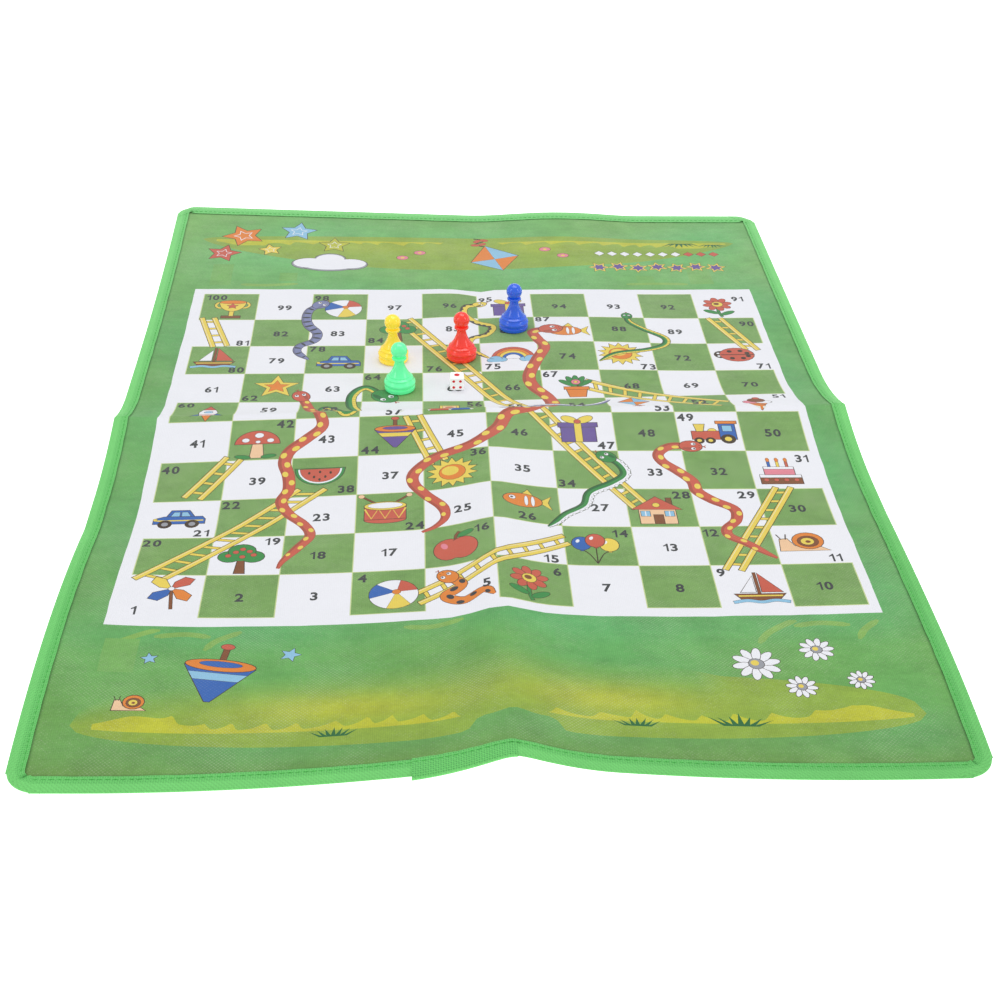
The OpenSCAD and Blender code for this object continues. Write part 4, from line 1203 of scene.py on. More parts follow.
class Finish:
    """A node material, its shader, and one method that adds any other node."""

    def __init__(self, name, **constants):
        self.material = bpy.data.materials.new(name)
        self.material.use_nodes = True
        self.tree = self.material.node_tree
        self.shader = self.tree.nodes["Principled BSDF"]
        for socket, value in constants.items():
            self.shader.inputs[socket.replace("_", " ")].default_value = value

    def add(self, kind, options=None, *values, output=0, **named):
        node = self.tree.nodes.new(kind)
        for option, value in (options or {}).items():
            setattr(node, option, value)
        for socket, value in [*enumerate(values), *((n.replace("_", " "), v) for n, v in named.items())]:
            self.join(value, node.inputs[socket])
        return Value(self, node.outputs[output])

    def join(self, value, socket):
        if isinstance(value, Value):
            self.tree.links.new(value.socket, socket)
        else:
            socket.default_value = value

    def feed(self, socket, value):
        self.join(value, self.shader.inputs[socket])

    def axes(self, source="Object", scale=1000.0, centre=(0, 0, 0)):
        """The three values of a coordinate, scaled, about a centre."""
        if source == "Object":
            where = self.add("ShaderNodeTexCoord", output="Object")
        else:
            where = self.add("ShaderNodeUVMap", {"uv_map": source})
        placed = self.add("ShaderNodeMapping", None, Vector=where, Scale=(scale,)*3,
                          Location=tuple(-c*scale for c in centre))
        split = self.add("ShaderNodeSeparateXYZ", None, placed)
        return placed, [Value(self, o) for o in split.socket.node.outputs]

    def noise(self, where, scale, detail=3.0, rough=0.55, stretch=None):
        if stretch:
            where = self.add("ShaderNodeVectorMath", {"operation": "MULTIPLY"}, where, stretch)
        return self.add("ShaderNodeTexNoise", None, Vector=where, Scale=scale, Detail=detail, Roughness=rough)

    def scaled(self, tone, by):
        """A colour made lighter or darker."""
        return self.add("ShaderNodeVectorMath", {"operation": "SCALE"}, tone, Scale=by)

    def mix(self, factor, a, b):
        node = self.tree.nodes.new("ShaderNodeMix")
        node.data_type = "RGBA"
        self.join(factor, node.inputs[0])
        self.join(a, node.inputs[6])
        self.join(b, node.inputs[7])
        return Value(self, node.outputs[2])

    def bump(self, height, strength, distance_m):
        self.feed("Normal", self.add("ShaderNodeBump", None, Height=height, Strength=strength, Distance=distance_m))


# Scene colours inside the cloths: bare fibre, the painted shadow beside the tape, the painted sheen far off, the
# tape's pores, the painted shade in its tucks, and its painted sheen far off
FIBRE, PAINTED_SHADOW, PAINTED_SHEEN = (0.68, 0.74, 0.56, 1.0), (0.012, 0.07, 0.014, 1.0), (0.82, 0.85, 0.92, 1.0)
PORE, PAINTED_TUCK_SHADE, TAPE_PAINTED_SHEEN = (0.01, 0.17, 0.035, 1.0), (0.01, 0.13, 0.025, 1.0), (0.85, 0.92, 0.85, 1.0)


def slanting(x, y, pitch):
    """Two sets of slanting lines as waves from -1 to 1."""
    k = 2*math.pi/pitch/math.sqrt(2)
    return ((x + y)*k).sine(), ((x - y)*k).sine()


def printed_cloth():
    """Non-woven cloth with a printed face: inks, watery mottling, bonded points and bare fibres."""
    f = Finish("printed_cloth", Sheen_Weight=0.05, Sheen_Roughness=0.5, Specular_IOR_Level=0.25)
    ink = f.add("ShaderNodeAttribute", {"attribute_name": "ink"}, output="Color")
    amount = Value(f, ink.socket.node.outputs["Alpha"])
    where, (x, y, _) = f.axes()
    a, b = slanting(x, y, 1.3)
    points = a*b*0.5 + 0.5
    blot = f.noise(where, 0.05, 4.0, 0.6)
    streak = f.noise(where, 0.17, 3.0, 0.6, (0.5, 1.4, 1.0))
    grain = f.noise(where, 1.3, 3.0, 0.65)
    light = ((blot - 0.5)*0.5 + (streak - 0.5)*0.3)*amount
    fleck = (grain - 0.5)*(amount*0.42 + 0.05)
    dot = (points - 0.5)*(amount*0.18 + 0.02)
    tone = f.scaled(ink, light + fleck + dot + 1.0)
    # Pale broken lines of bare fibre where the ink is thin
    patch = f.noise(where, 0.028, 3.0, 0.6)
    broken = f.noise(where, 0.55, 3.0, 0.7)
    one = ((a - 0.35)*1.6).clamp()
    two = ((b - 0.35)*1.6).clamp()
    thin = ((patch*0.7 + broken*0.6 - 0.57)*4.0).clamp()*amount
    tone = f.mix((one + two)*thin*0.17, tone, FIBRE)
    # A painted shadow line beside the tape: the base colour is darkened towards the tape's inner edge
    beside = (mm("width")/2 - mm("tape_side") - abs(x)).math("MINIMUM", mm("reach")/2 - mm("tape_near") + y)
    beside = beside.math("MINIMUM", mm("reach")/2 - mm("tape_far") - y)
    painted_shadow = (1.0 - beside/1.4).clamp()
    # Painted sheen: far from the player the cloth is painted a little paler, as grazing light makes it look
    painted_sheen = ((y + 200.0)/450.0).clamp()*0.042 + 0.008
    tone = f.mix(painted_sheen, tone, PAINTED_SHEEN)
    f.feed("Base Color", f.mix(painted_shadow*0.5, tone, PAINTED_SHADOW))
    f.feed("Roughness", grain*0.14 + 0.62)
    f.bump(points*0.7 + grain*0.5, 0.3, 0.00025)
    return f.material


def binding_cloth(name, rolled=True):
    """Bright non-woven tape: a flat sewn part with dark slanting pores, and a smoother outer roll."""
    f = Finish(name, Sheen_Weight=0.05, Sheen_Roughness=0.5, Specular_IOR_Level=0.3)
    inks = settings("inks")
    _, (u, v, _) = f.axes("strip")
    a, b = slanting(u, v, 1.5)
    points = a*b*0.5 + 0.5
    object_where, (x, y, _) = f.axes()
    # Painted sheen: the tape is painted lighter and paler far from the player
    far = ((y + 150.0)/430.0).clamp()
    # Painted shade: the tape is painted darker towards the near right corner
    near_right_shade = (x/150.0).clamp()*(y/(-150.0)).clamp()
    blot = f.noise(object_where, 0.06, 3.0)
    grain = f.noise(object_where, 1.3, 3.0, 0.65)
    outside = ((v - 4.7)/1.1).clamp() if rolled else ((v - 9.6)/1.0).clamp()
    tone = f.mix(outside, linear(inks.sewn), linear(inks.tape))
    gain = (blot - 0.5)*0.16 + (grain - 0.5)*0.3 + b*0.06 + far*0.1 - near_right_shade*0.1 + 1.0
    tone = f.scaled(tone, gain)
    pore = ((points*0.75 + grain*0.45 - 0.62)*3.6).clamp()*(1.0 - outside*0.72)
    tone = f.mix(pore*(0.5 if rolled else 0.58), tone, PORE)
    # Painted shade in the folded tuck at each corner: the base colour darkens where the tape folds under
    tuck = f.add("ShaderNodeAttribute", {"attribute_name": "tuck"}, output="Fac")
    tuck = tuck*(1.0 - ((v - 2.2)/2.4).clamp())
    # Painted sheen far from the player
    tone = f.mix(far*0.085, tone, TAPE_PAINTED_SHEEN)
    f.feed("Base Color", f.mix(tuck*0.6, tone, PAINTED_TUCK_SHADE))
    f.feed("Roughness", grain*0.16 + 0.55)
    f.bump(points*(-0.7) + grain*0.4 + b*0.2, 0.5, 0.0003)
    return f.material


def sewing_thread(screen):
    """Twisted thread along each stitch."""
    f = Finish("sewing_thread", Sheen_Weight=0.15, Specular_IOR_Level=0.3)
    _, (u, v, _) = f.axes("run")
    twist = ((u*5.2 + v*6.0).sine()*0.5 + 0.5)
    where, _ = f.axes()
    grain = f.noise(where, 2.2, 2.0)
    f.feed("Base Color", f.scaled(linear(screen)[:3], twist*0.4 + (grain - 0.5)*0.3 + 0.8))
    f.feed("Roughness", grain*0.2 + 0.5)
    f.bump(twist, 0.5, 0.0001)
    return f.material


def moulded_plastic(name, screen, centre):
    """Glossy moulded plastic: faint flow marks, scuffs, the mould's parting line down both sides, and a painted glow
    in its own colour.
    """
    base = linear(screen)
    # The emission in the plastic's own colour is painted light: a glow that lifts its shaded sides
    f = Finish(name, Specular_IOR_Level=0.5, Subsurface_Weight=0.08, Coat_Roughness=0.05, Emission_Color=base,
               Emission_Strength=0.24)
    f.shader.inputs["Subsurface Radius"].default_value = (0.002, 0.002, 0.002)
    where, (_, y, _) = f.axes(centre=centre)
    flow = f.noise(where, 0.12, 3.0, 0.5, (1.0, 1.0, 0.35))
    scuff = f.noise(where, 0.9, 5.0, 0.7, (1.0, 1.0, 0.25))
    seam = (1 - (abs(y)/0.16)).clamp()
    tone = f.scaled(base[:3], (flow - 0.5)*0.16 + 1.0 - seam*0.06)
    rub = ((scuff - 0.56)*5.0).clamp()
    f.feed("Base Color", f.mix(rub*0.06, tone, (0.9, 0.9, 0.9, 1.0)))
    f.feed("Roughness", rub*0.12 + flow*0.08 + 0.1)
    f.feed("Coat Weight", 0.6 - rub*0.2)
    f.bump(seam*0.35 + flow*0.5 + scuff*0.06, 0.25, 0.00022)
    return f.material


def die_plastic(name, screen, centre, gloss):
    """Polished white plastic, or the ink in its pips, with fine scratches and a painted glow in its own colour."""
    base = linear(screen)
    # The emission in the plastic's own colour is painted light: a glow that brightens the die and its pips
    f = Finish(name, Specular_IOR_Level=0.5, Emission_Color=base, Emission_Strength=0.2)
    where, _ = f.axes(centre=centre)
    tint = f.noise(where, 0.4, 2.0)
    scratch = f.noise(where, 1.2, 4.0, 0.7, (3.0, 0.5, 1.0))
    f.feed("Base Color", f.scaled(base[:3], (tint - 0.5)*0.08 + 1.0))
    f.feed("Roughness", scratch*0.14 + gloss)
    f.bump(scratch, 0.06, 0.0001)
    return f.material


def floor_finish(screen):
    """Plain pale floor with the faintest grain."""
    f = Finish("floor_card", Specular_IOR_Level=0.1, Emission_Color=(1.0, 1.0, 1.0, 1.0), Emission_Strength=0.9)
    where, _ = f.axes(scale=1.0)
    grain = f.noise(where, 60.0, 2.0)
    f.feed("Base Color", f.scaled(linear(screen)[:3], (grain - 0.5)*0.004 + 1.0))
    f.feed("Roughness", grain*0.05 + 0.9)
    return f.material


# Operators

def sheet_inset():
    """How far the printed sheet's edge stays inside the mat's outline: the tape and a gap."""
    return mm("tape_thick") + 0.3


class BOARD_OT_sheet(bpy.types.Operator):
    """Make the printed cloth as one thin draped sheet"""
    bl_idname = "board.sheet"
    bl_label = "Printed sheet"

    # Pitch of points round the edge, on the top and on the underside, rows at the cross crease, and the
    # corners' part that the rows leave out
    RING_PITCH, TOP_PITCH, LOW_PITCH = 5.0, 4.0, 8.0
    CREASE_ROWS, CORNER = (-2.0, -0.6, 0.0, 0.6, 2.0), 7

    def execute(self, context):
        inset = sheet_inset()
        half_w, half_l = mm("width")/2 - inset, mm("reach")/2 - inset
        round_r, outline = mm("corner") - inset, []
        for cx, cy, start in ((1, 1, 0), (-1, 1, 90), (-1, -1, 180), (1, -1, 270)):
            for k in range(7):
                a = math.radians(start + 15*k)
                outline.append((cx*(half_w - round_r) + round_r*math.cos(a),
                                cy*(half_l - round_r) + round_r*math.sin(a)))
        ring, _ = even_path(np.vstack([outline, outline[:1]]), self.RING_PITCH)
        ring = ring[:-1]
        shapes = board_shapes()
        top = self.partition(ring, shapes, self.TOP_PITCH)
        low = self.partition(ring, [], self.LOW_PITCH)
        points = np.vstack([self.lift(top["points"], mm("cloth")), self.lift(low["points"], 0.0)])
        shift = len(top["points"])
        faces = [tuple(t) for t in top["faces"]]
        faces += [tuple(shift + v for v in reversed(t)) for t in low["faces"]]
        a, b = top["ring"], [shift + v for v in low["ring"]]
        rim = [(a[k], b[k], b[(k + 1) % len(b)], a[(k + 1) % len(a)]) for k in range(len(a))]
        obj = new_object("printed_sheet", points, faces + rim)
        mesh = obj.data
        values = ink_values()
        table = [values["margin"]] + [values[ink] for _, ink in shapes]
        per_face = np.array([table[k] for k in top["inks"]]
                            + [values["back"]]*(len(low["faces"]) + len(rim)), np.float32)
        totals = np.empty(len(mesh.polygons), np.int32)
        mesh.polygons.foreach_get("loop_total", totals)
        names = np.array(["margin"] + [ink for _, ink in shapes])[top["inks"]]
        names = np.repeat(np.concatenate([names, np.full(len(low["faces"]) + len(rim), "back")]), totals)
        tints = np.repeat(per_face, totals, axis=0)
        corners = points[loop_vertices(mesh)]
        open_margin, grown_over = margin_tints(corners[:, 0], corners[:, 1])
        tints[names == "margin", :3] = open_margin[names == "margin"]
        tints[names == "body", :3] = grown_over[names == "body"]
        layer = mesh.color_attributes.new("ink", "FLOAT_COLOR", "CORNER")
        layer.data.foreach_set("color", tints.astype(np.float32).ravel())
        self.map_for_baking(mesh, shift, len(faces), len(top["faces"]), totals)
        self.set_normals(mesh, points, shift)
        mesh.materials.append(printed_cloth())
        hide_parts("mat_far_half", "mat_near_half")
        return {"FINISHED"}

    def partition(self, ring, shapes, pitch):
        """Cuts the sheet along every shape. Each triangle keeps the ink of the last shape over it."""
        points, faces, order = [tuple(p) for p in ring], [list(range(len(ring)))], [0]
        for k, (outline, _) in enumerate(shapes):
            clean = counter_clockwise(outline)
            if clean is not None:
                faces.append(list(range(len(points), len(points) + len(clean))))
                order.append(k + 1)
                points += [tuple(p) for p in clean]
        low, high = ring.min(0), ring.max(0)
        xs = np.linspace(low[0], high[0], int((high[0] - low[0])/pitch) + 1)[1:-1]
        ys = np.linspace(low[1], high[1], int((high[1] - low[1])/pitch) + 1)[1:-1]
        grid = [(x, y) for y in np.union1d(ys, self.CREASE_ROWS) for x in xs
                if abs(x) < high[0] - self.CORNER or abs(y) < high[1] - self.CORNER]
        out, _, triangles, from_points, _, from_faces = delaunay_2d_cdt(
            [Vector(p) for p in points + grid], [], faces, 1, 1e-4, True)
        where = {i: k for k, group in enumerate(from_points) for i in group}
        return {"points": np.array([tuple(v) for v in out]), "faces": triangles,
                "inks": [order[max(g)] if g else 0 for g in from_faces],
                "ring": [where[i] for i in range(len(ring))]}

    @staticmethod
    def lift(points, thick):
        x, y = points[:, 0], points[:, 1]
        return np.stack([x, y, sheet_height(x, y) + thick], 1)

    @staticmethod
    def map_for_baking(mesh, shift, sheet_faces, top_faces, totals):
        """A plain map of the top, a smaller one of the underside, and a strip for the rim."""
        index = loop_vertices(mesh)
        co = np.empty(len(mesh.vertices)*3, np.float32)
        mesh.vertices.foreach_get("co", co)
        co = co.reshape(-1, 3)[index]
        reach = mm("reach")/1000
        flat = np.stack([(co[:, 0] + mm("width")/2000)/reach, (co[:, 1] + reach/2)/reach], 1)
        loops = np.repeat(np.arange(len(totals)), totals)
        uv = flat*0.996 + 0.002
        under = (loops >= top_faces) & (loops < sheet_faces)
        uv[under] = flat[under]*0.4 + (0.712, 0.002)
        rim = loops >= sheet_faces
        along = np.arctan2(co[rim, 1], co[rim, 0])/(2*math.pi) + 0.5
        uv[rim] = np.stack([0.715 + along*0.27, 0.5 + (index[rim] < shift)*0.004], 1)
        add_uv(mesh, "OFBake", uv)

    @staticmethod
    def set_normals(mesh, points, shift):
        normals = cloth_normals(points[:, 0], points[:, 1])
        normals[shift:] *= -1
        mesh.normals_split_custom_set_from_vertices([tuple(n) for n in normals])


class BOARD_OT_binding(bpy.types.Operator):
    """Make the edge tape, folded over the sheet all round"""
    bl_idname = "board.binding"
    bl_label = "Edge tape"

    # The tape's section: distance from the outer edge, and height over the cloth's lowest level
    SECTION = ((10.0, 1.12), (10.05, 1.34), (9.85, 1.5), (9.0, 1.5), (8.0, 1.4), (7.0, 1.52), (5.6, 1.6), (4.0, 1.62),
               (2.5, 1.58), (1.3, 1.44), (0.5, 1.16), (0.06, 0.84), (0.06, 0.6), (0.36, 0.3), (1.0, 0.06), (2.4, 0.0),
               (10.0, 0.0), (10.0, 0.38), (1.3, 0.4), (0.95, 0.75), (1.3, 1.1))
    # Distance between two sections along the tape, and the count of sections in its lap
    PITCH, LAP_STATIONS = 2.4, 36

    def execute(self, context):
        outer, inner, run, bend = edge_stations(self.PITCH)
        total = run[-1] + self.PITCH
        obj = self.strip("edge_tape", outer, inner, run, True, self.puckers(bend, run, total))
        # Weight of the painted shade in each corner's folded tuck
        tuck = np.where(bend >= 0, np.exp(-((bend - 0.46)/0.05)**2), 0)
        shade = obj.data.attributes.new("tuck", "FLOAT", "POINT")
        shade.data.foreach_set("value", np.repeat(tuck, len(self.SECTION)).astype(np.float32))
        obj.data.materials.append(binding_cloth("binding_cloth"))
        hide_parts("binding_far", "binding_near")
        self.lap()
        return {"FINISHED"}

    @staticmethod
    def puckers(bend, run, total):
        """Small rises along the tape, a folded tuck at each corner, and an uneven inner edge."""
        dent = lambda at, wide: np.where(bend >= 0, np.exp(-((bend - at)/wide)**2), 0)
        rise = 0.1*wander(run, total, 3, (31, 57, 83, 121)) + 0.05*np.sin(2*math.pi*run/3.3)
        rise += 0.55*dent(0.32, 0.12) - 0.5*dent(0.46, 0.045) + 0.4*dent(0.7, 0.16)
        edge = 0.28*wander(run, total, 8, (23, 41, 67, 99))
        return rise, edge

    def strip(self, name, outer, inner, run, closed, pucker, section=None):
        section = np.array(section or self.SECTION)
        rise, edge = pucker
        count, sides = len(outer), len(section)
        share = section[:, 0]/mm("tape")
        top = (section[:, 1] > 0.9)*np.clip(section[:, 0]/2, 0, 1)
        free = np.clip((section[:, 0] - 8.4)/1.6, 0, 1)
        s = share[None, :]*tape_shares(outer)[:, None] + (edge[:, None]*free[None, :])/mm("tape")
        flat = outer[:, None, :] + (inner - outer)[:, None, :]*s[:, :, None]
        z = cloth_height(flat[:, :, 0], flat[:, :, 1]) + section[None, :, 1] + rise[:, None]*top[None, :]
        points = np.concatenate([flat, z[:, :, None]], 2).reshape(-1, 3)
        last = count if closed else count - 1
        faces = [(i*sides + k, (i + 1) % count*sides + k, (i + 1) % count*sides + (k + 1) % sides,
                  i*sides + (k + 1) % sides) for i in range(last) for k in range(sides)]
        if not closed:
            faces += [tuple(range(sides)), tuple((count - 1)*sides + k for k in reversed(range(sides)))]
        obj = new_object(name, points, faces)
        girth = np.concatenate([[0], np.cumsum(np.linalg.norm(np.diff(section, axis=0), axis=1))])
        index = loop_vertices(obj.data)
        station, place = index//sides, index % sides
        along = np.append(run, run[-1] + self.PITCH)
        wrap = np.repeat(np.arange(len(faces)), [len(f) for f in faces])
        first = np.minimum(wrap//sides, last - 1)
        across = np.append(girth, girth[-1] + 0.4)
        edge_k = wrap % sides
        u = np.where((station == 0) & (first == count - 1) & closed, along[count], along[station])
        v = np.where((place == 0) & (edge_k == sides - 1), across[sides], across[place])
        add_uv(obj.data, "strip", np.stack([u/1000, v/1000], 1))
        outward_normals(obj)
        bpy.ops.object.shade_smooth_by_angle(angle=math.radians(48))
        return obj

    def lap(self):
        """The tape's end over its own start, wrapped a little loosely."""
        start, end = -mm("lap_at"), mm("lap_long") - mm("lap_at")
        x = np.linspace(start, end, self.LAP_STATIONS)
        half_l = mm("reach")/2
        loose = np.linspace(1, 0, self.LAP_STATIONS)**0.8
        outer = np.stack([x, -half_l - 0.05 - 2.1*loose], 1)
        inner = np.stack([x, np.full_like(x, -half_l + mm("tape") + 0.12) + 0.3*loose], 1)
        section = [(s, (z + 0.42 if z > 0.9 else z - 0.42 if z < 0.35 else z)) for s, z in self.SECTION[:17]]
        section += [(10.0, -0.06), (0.5, -0.05), (0.42, 0.75), (0.5, 1.62)]
        rise = 0.12*loose + 0.05*np.sin(x*1.9) - 0.34*np.clip(1 - loose/0.3, 0, 1)**2
        obj = self.strip("tape_lap", outer, inner, x - start, False, (rise, 0.1*np.sin(x*0.7)), section)
        obj.data.materials.append(binding_cloth("lap_cloth", False))
        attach(obj, "near_half")
        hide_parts("binding_lap")


class BOARD_OT_seam(bpy.types.Operator):
    """Sew the tape with a row of separate stitches"""
    bl_idname = "board.seam"
    bl_label = "Seam"

    # A stitch: sides and rings of its mesh, pitch, length, half thickness, place across the tape, height over
    # the cloth's lowest level, and the lap's extra height
    SIDES, RINGS, PITCH, LONG, HALF = 6, 5, 3.3, 2.75, 0.3
    ACROSS, HEIGHT, LAP_LIFT = 0.8, 1.36, 0.5

    def execute(self, context):
        outer, inner, _, _ = edge_stations(1.1)
        line = outer + (inner - outer)*self.ACROSS*tape_shares(outer)[:, None]
        line = np.vstack([line, line[:1]])
        path, at = even_path(line, 0.4)
        rng = random.Random(11)
        points, faces, uv = [], [], []
        sides, rings = self.SIDES, self.RINGS
        for k in range(int(at[-1]/self.PITCH)):
            t = np.linspace(0, 1, rings)*self.LONG + k*self.PITCH
            x, y = np.interp(t, at, path[:, 0]), np.interp(t, at, path[:, 1])
            dx, dy = x[-1] - x[0], y[-1] - y[0]
            n = np.array([-dy, dx])/max(math.hypot(dx, dy), 1e-6)
            shift = rng.uniform(-0.08, 0.08)
            on_lap = y[0] < 2 - mm("reach")/2 + mm("tape") and -1 < x[0] + mm("lap_at") < mm("lap_long")
            z = cloth_height(x, y) + self.HEIGHT + (self.LAP_LIFT if on_lap else 0.0)
            z = z + 0.16*np.sin(np.linspace(0, math.pi, rings))
            fat = self.HALF*np.sin(np.linspace(0.35, math.pi - 0.35, rings))
            base = len(points)
            for i in range(rings):
                for j in range(sides):
                    a = 2*math.pi*j/sides
                    off = shift + fat[i]*math.cos(a)
                    points.append((x[i] + n[0]*off, y[i] + n[1]*off, z[i] + 0.8*fat[i]*math.sin(a)))
                    uv.append((t[i], j/sides))
            for i in range(rings - 1):
                for j in range(sides):
                    faces.append((base + i*sides + j, base + (i + 1)*sides + j,
                                  base + (i + 1)*sides + (j + 1) % sides, base + i*sides + (j + 1) % sides))
            faces.append(tuple(base + j for j in range(sides)))
            faces.append(tuple(base + (rings - 1)*sides + j for j in reversed(range(sides))))
        obj = new_object("seam_stitches", points, faces)
        add_uv(obj.data, "run", np.array(uv)[loop_vertices(obj.data)]/1000)
        outward_normals(obj)
        obj.data.materials.append(sewing_thread(settings("inks").thread))
        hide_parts("seam_far", "seam_near")
        return {"FINISHED"}


class BOARD_OT_pawns(bpy.types.Operator):
    """Turn one pawn and set a copy of it on each of the four places"""
    bl_idname = "board.pawns"
    bl_label = "Pawns"

    def execute(self, context):
        model = self.turned()
        for tint in ("yellow", "green", "red", "blue"):
            node = "pawn_" + tint
            low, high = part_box(node)
            centre = ((low.x + high.x)/2, (low.y + high.y)/2, low.z)
            obj = add_object("moulded_" + node, model.data.copy())
            obj.data.transform(Matrix.Translation(Vector(centre)))
            obj.data.materials.append(moulded_plastic(node + "_plastic", getattr(settings("pieces"), tint), centre))
            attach(obj, node)
            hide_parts(node)
        bpy.data.objects.remove(model)
        return {"FINISHED"}

    @staticmethod
    def outline():
        """Half of the pawn's section from the foot's inside round to the top, then the hollow."""
        p = settings("pieces")
        foot, bulge, ring, neck = (v/2*1000 for v in (p.foot_wide, p.bulge_wide, p.ring_wide, p.neck_wide))
        collar, head, tall, wall = p.collar_wide/2*1000, p.head_wide/2*1000, p.pawn_high*1000, p.wall*1000
        arc = lambda cx, cz, rx, rz, a, b, n=10: [
            (cx + rx*math.cos(math.radians(t)), cz + rz*math.sin(math.radians(t))) for t in np.linspace(a, b, n)]
        head_z = tall - head
        collar_z = head_z - math.sqrt(head**2 - neck**2) - p.throat*1000 - 0.95
        points = [(foot - wall, 0.0), (foot - 0.9, 0.0)]
        points += arc(foot - 0.9, 0.9, 0.9, 0.9, -78, 0, 6) + arc(foot - 0.7, 2.1, 0.7, 0.7, 0, 80, 7)
        points += [(foot - 0.5, 3.0)] + arc(bulge - 1.5, 4.7, 1.5, 1.6, -62, 64, 14)
        step = (bulge + ring)/2
        points += [(step + 0.1, 7.05)] + arc(step - 0.45, 7.75, 0.5, 0.5, -40, 62, 8)
        points += [(ring + 0.25, 8.75)] + arc(ring - 0.45, 9.35, 0.5, 0.5, -40, 66, 8)
        flare_top = collar_z - 0.85
        points += [(neck + (ring - 0.45 - neck)*(1 - t)**1.7, 10.05 + (flare_top - 10.05)*t)
                   for t in np.linspace(0, 1, 18)]
        points += arc(collar - 0.85, collar_z + 0.95, 0.85, 0.95, -84, 84, 12)
        start = -math.degrees(math.acos(neck/head))
        points += arc(0, head_z, head, head, start, 90, 26)[:-1] + [(0.0, tall)]
        points += [(0.0, collar_z - wall), (neck - wall/2, collar_z - 2*wall), (ring - 2*wall, 10.05),
                   (step - wall, 7.2 - wall)]
        return points

    def turned(self):
        points = [(x, 0.0, z) for x, z in self.outline()]
        edges = [(k, k + 1) for k in range(len(points) - 1)] + [(len(points) - 1, 0)]
        mesh = bpy.data.meshes.new("pawn_section")
        mesh.from_pydata([tuple(np.array(p)/1000) for p in points], edges, [])
        obj = add_object("pawn_section", mesh)
        only(obj)
        bpy.ops.object.mode_set(mode="EDIT")
        bpy.ops.mesh.select_all(action="SELECT")
        bpy.ops.mesh.spin(steps=72, angle=2*math.pi, center=(0, 0, 0), axis=(0, 0, 1), dupli=False)
        bpy.ops.mesh.select_all(action="SELECT")
        bpy.ops.mesh.remove_doubles(threshold=0.00001)
        bpy.ops.object.mode_set(mode="OBJECT")
        outward_normals(obj)
        bpy.ops.object.shade_smooth_by_angle(angle=math.radians(38))
        return obj


class BOARD_OT_die(bpy.types.Operator):
    """Make the die as a rounded block with dished pips"""
    bl_idname = "board.die"
    bl_label = "Die"

    # Pips of each number in steps from the middle, and the direction and turn of its face
    PIPS = {1: ((0, 0),), 2: ((-1, 1), (1, -1)), 3: ((-1, 1), (0, 0), (1, -1)),
            4: ((-1, 1), (1, 1), (-1, -1), (1, -1)), 5: ((-1, 1), (1, 1), (0, 0), (-1, -1), (1, -1)),
            6: ((-1, 1), (1, 1), (-1, 0), (1, 0), (-1, -1), (1, -1))}
    FACES = {1: (0, 0), 2: (0, 90), 3: (-90, 0), 4: (90, 0), 5: (0, -90), 6: (180, 0)}

    def execute(self, context):
        p = settings("pieces")
        low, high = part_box("die")
        centre = (low + high)/2
        bpy.ops.object.select_all(action="DESELECT")
        bpy.ops.mesh.primitive_cube_add(size=p.die_side, location=(0, 0, 0))
        obj = context.object
        obj.name = obj.data.name = "polished_die"
        bpy.ops.object.mode_set(mode="EDIT")
        bpy.ops.mesh.select_all(action="SELECT")
        bpy.ops.mesh.bevel(offset=p.die_round, segments=6, profile=0.5, affect="EDGES")
        bpy.ops.object.mode_set(mode="OBJECT")
        bpy.ops.object.shade_smooth_by_angle(angle=math.radians(30))
        balls = self.balls()
        for number, place, radius in balls:
            bpy.ops.object.select_all(action="DESELECT")
            bpy.ops.mesh.primitive_uv_sphere_add(segments=28, ring_count=20, radius=radius, location=place)
            cutter = context.object
            only(obj)
            cut = obj.modifiers.new("pip", "BOOLEAN")
            cut.operation, cut.object, cut.solver = "DIFFERENCE", cutter, "EXACT"
            bpy.ops.object.modifier_apply(modifier=cut.name)
            bpy.data.objects.remove(cutter)
        obj.data.materials.clear()
        at = tuple(centre)
        for name, screen, gloss in (("die_white", p.white, 0.16), ("pip_red", p.pip_red, 0.3),
                                    ("pip_dark", p.pip_dark, 0.3)):
            obj.data.materials.append(die_plastic(name, screen, at, gloss))
        for face in obj.data.polygons:
            for number, place, radius in balls:
                if all(abs((obj.data.vertices[v].co - place).length - radius) < radius*0.02 for v in face.vertices):
                    face.material_index = 1 if number in (1, 4) else 2
        obj.data.transform(Matrix.Translation(centre))
        bpy.ops.object.shade_smooth_by_angle(angle=math.radians(30))
        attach(obj, "die")
        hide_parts("die")
        return {"FINISHED"}

    def balls(self):
        """The number, centre and radius of each ball that cuts a pip."""
        p = settings("pieces")
        found = []
        for number, spots in self.PIPS.items():
            wide = p.one_wide if number == 1 else p.pip_wide
            radius = ((wide/2)**2 + p.pip_deep**2)/(2*p.pip_deep)
            tilt, roll = self.FACES[number]
            turn = Matrix.Rotation(math.radians(roll), 3, "Y") @ Matrix.Rotation(math.radians(tilt), 3, "X")
            for x, y in spots:
                place = turn @ Vector((x*p.pip_step, y*p.pip_step, p.die_side/2 + radius - p.pip_deep))
                found.append((number, place, radius))
        return found


class BOARD_OT_join(bpy.types.Operator):
    """Bake the placement of the sheet, the tape and the stitches into their meshes"""
    bl_idname = "board.join"
    bl_label = "Cloth bend"

    def execute(self, context):
        objects = bpy.data.objects
        for name in ("printed_sheet", "edge_tape", "seam_stitches"):
            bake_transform(objects[name])
        inset = 2*sheet_inset()
        (mm("width") - inset)/1000
        (mm("reach") - inset)/1000
        return {"FINISHED"}


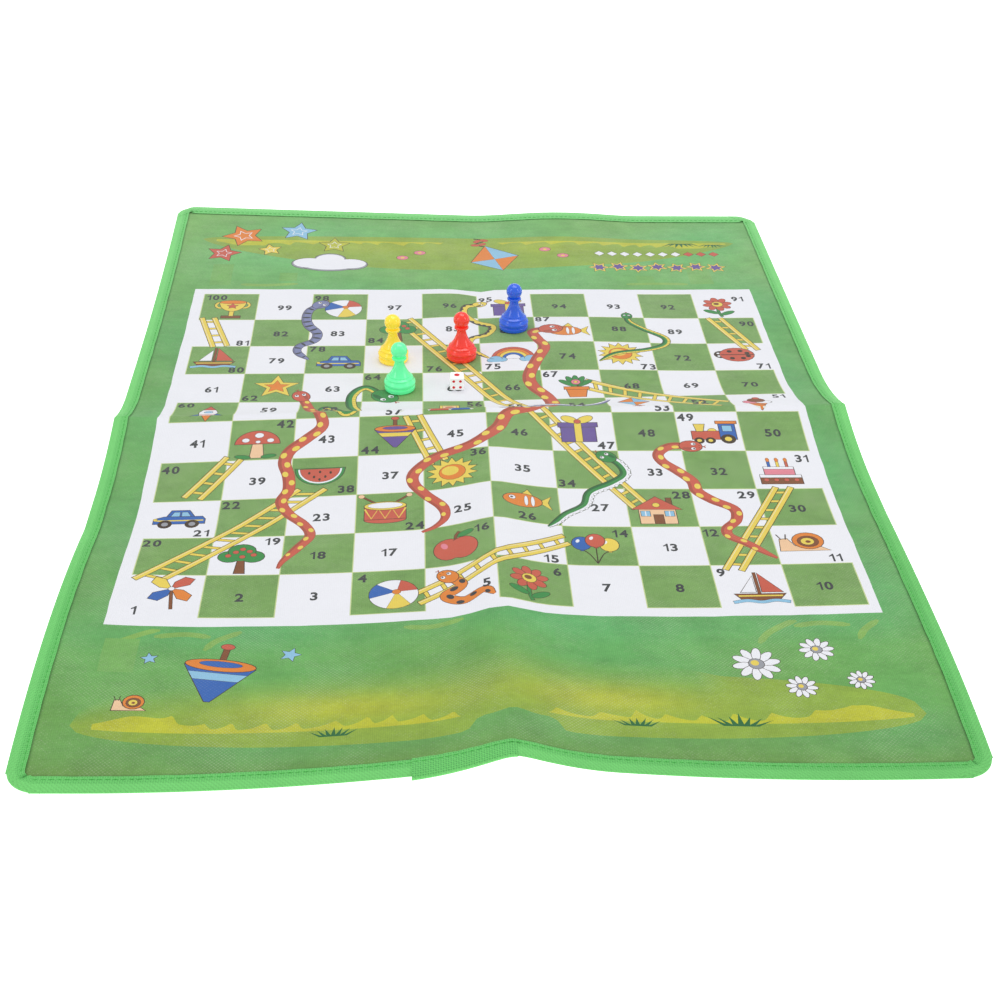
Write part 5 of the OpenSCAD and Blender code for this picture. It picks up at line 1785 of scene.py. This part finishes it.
class BOARD_OT_stage(bpy.types.Operator):
    """Make the floor, the lights and the camera"""
    bl_idname = "board.stage"
    bl_label = "Stage"

    # The floor's side, and its level just under the mat, in metres
    FLOOR_SIDE, FLOOR_LEVEL = 6.0, -0.0006

    def execute(self, context):
        s = settings("stage")
        scene = context.scene
        scene.view_settings.view_transform = "Standard"
        bpy.ops.object.select_all(action="DESELECT")
        bpy.ops.mesh.primitive_plane_add(size=self.FLOOR_SIDE, location=(0, 0, self.FLOOR_LEVEL))
        floor = context.object
        floor.name = "floor"
        floor.data.transform(Matrix.Translation(floor.location))
        floor.location = (0, 0, 0)
        floor.data.materials.append(floor_finish(s.floor))
        world = bpy.data.worlds.new("surround")
        world.use_nodes = True
        sky = world.node_tree.nodes["Background"].inputs
        sky["Color"].default_value, sky["Strength"].default_value = (1.0, 1.0, 1.0, 1.0), s.world
        scene.world = world
        self.light("overhead", s.key, (0.1, 0.35, 1.7), (0, 0.05, 0), 1.5, 1.1)
        for name, place in (("window_left", (-1.1, -0.5, 0.75)), ("window_right", (1.1, -0.4, 0.75))):
            self.light(name, s.side, place, (0, 0.05, 0.02), 0.35, 0.7)
        self.camera(s)
        return {"FINISHED"}

    @staticmethod
    def light(name, power, place, target, wide, tall):
        data = bpy.data.lights.new(name, "AREA")
        data.shape, data.size, data.size_y, data.energy = "RECTANGLE", wide, tall, power
        obj = add_object(name, data)
        obj.location = place
        obj.rotation_mode = "QUATERNION"
        obj.rotation_quaternion = (Vector(target) - Vector(place)).to_track_quat("-Z", "Y")

    @staticmethod
    def camera(s):
        data = bpy.data.cameras.new("camera")
        data.lens, data.sensor_width = s.lens, 36.0
        data.clip_start, data.clip_end = 0.02, 50.0
        obj = add_object("camera", data)
        back = -Vector(s.ahead).normalized()
        right = Vector(s.right)
        right = (right - back*right.dot(back)).normalized()
        up = back.cross(right)
        turn = Matrix((right, up, back)).transposed().to_4x4()
        obj.matrix_world = Matrix.Translation(Vector(s.eye)) @ turn
        bpy.context.scene.camera = obj


class BOARD_PT_panel(bpy.types.Panel):
    """Sizes, colours and the steps that make the board"""
    bl_idname = "BOARD_PT_panel"
    bl_label = "Snakes and ladders mat"
    bl_space_type = "VIEW_3D"
    bl_region_type = "UI"
    bl_category = "Board"

    def draw(self, context):
        for step in STEPS:
            self.layout.operator(step.bl_idname)
        for name, group in GROUPS.items():
            box = self.layout.box()
            box.label(text=name.title())
            for prop in group.__annotations__:
                box.prop(settings(name), prop)


GROUPS = {"mat": MatSizes, "inks": Inks, "pieces": PieceSizes, "stage": StageSettings}
STEPS = (BOARD_OT_sheet, BOARD_OT_binding, BOARD_OT_seam, BOARD_OT_pawns, BOARD_OT_die, BOARD_OT_join, BOARD_OT_stage)


def register():
    for cls in (*GROUPS.values(), *STEPS, BOARD_PT_panel):
        bpy.utils.register_class(cls)
    for name, group in GROUPS.items():
        setattr(bpy.types.Scene, "board_" + name, PointerProperty(type=group))


def unregister():
    for name in GROUPS:
        delattr(bpy.types.Scene, "board_" + name)
    for cls in (BOARD_PT_panel, *reversed(STEPS), *reversed(tuple(GROUPS.values()))):
        bpy.utils.unregister_class(cls)


def main():
    register()
    bpy.ops.board.sheet()
    bpy.ops.board.binding()
    bpy.ops.board.seam()
    bpy.ops.board.pawns()
    bpy.ops.board.die()
    bpy.ops.board.join()
    bpy.ops.board.stage()


if __name__ == "__main__":
    main()
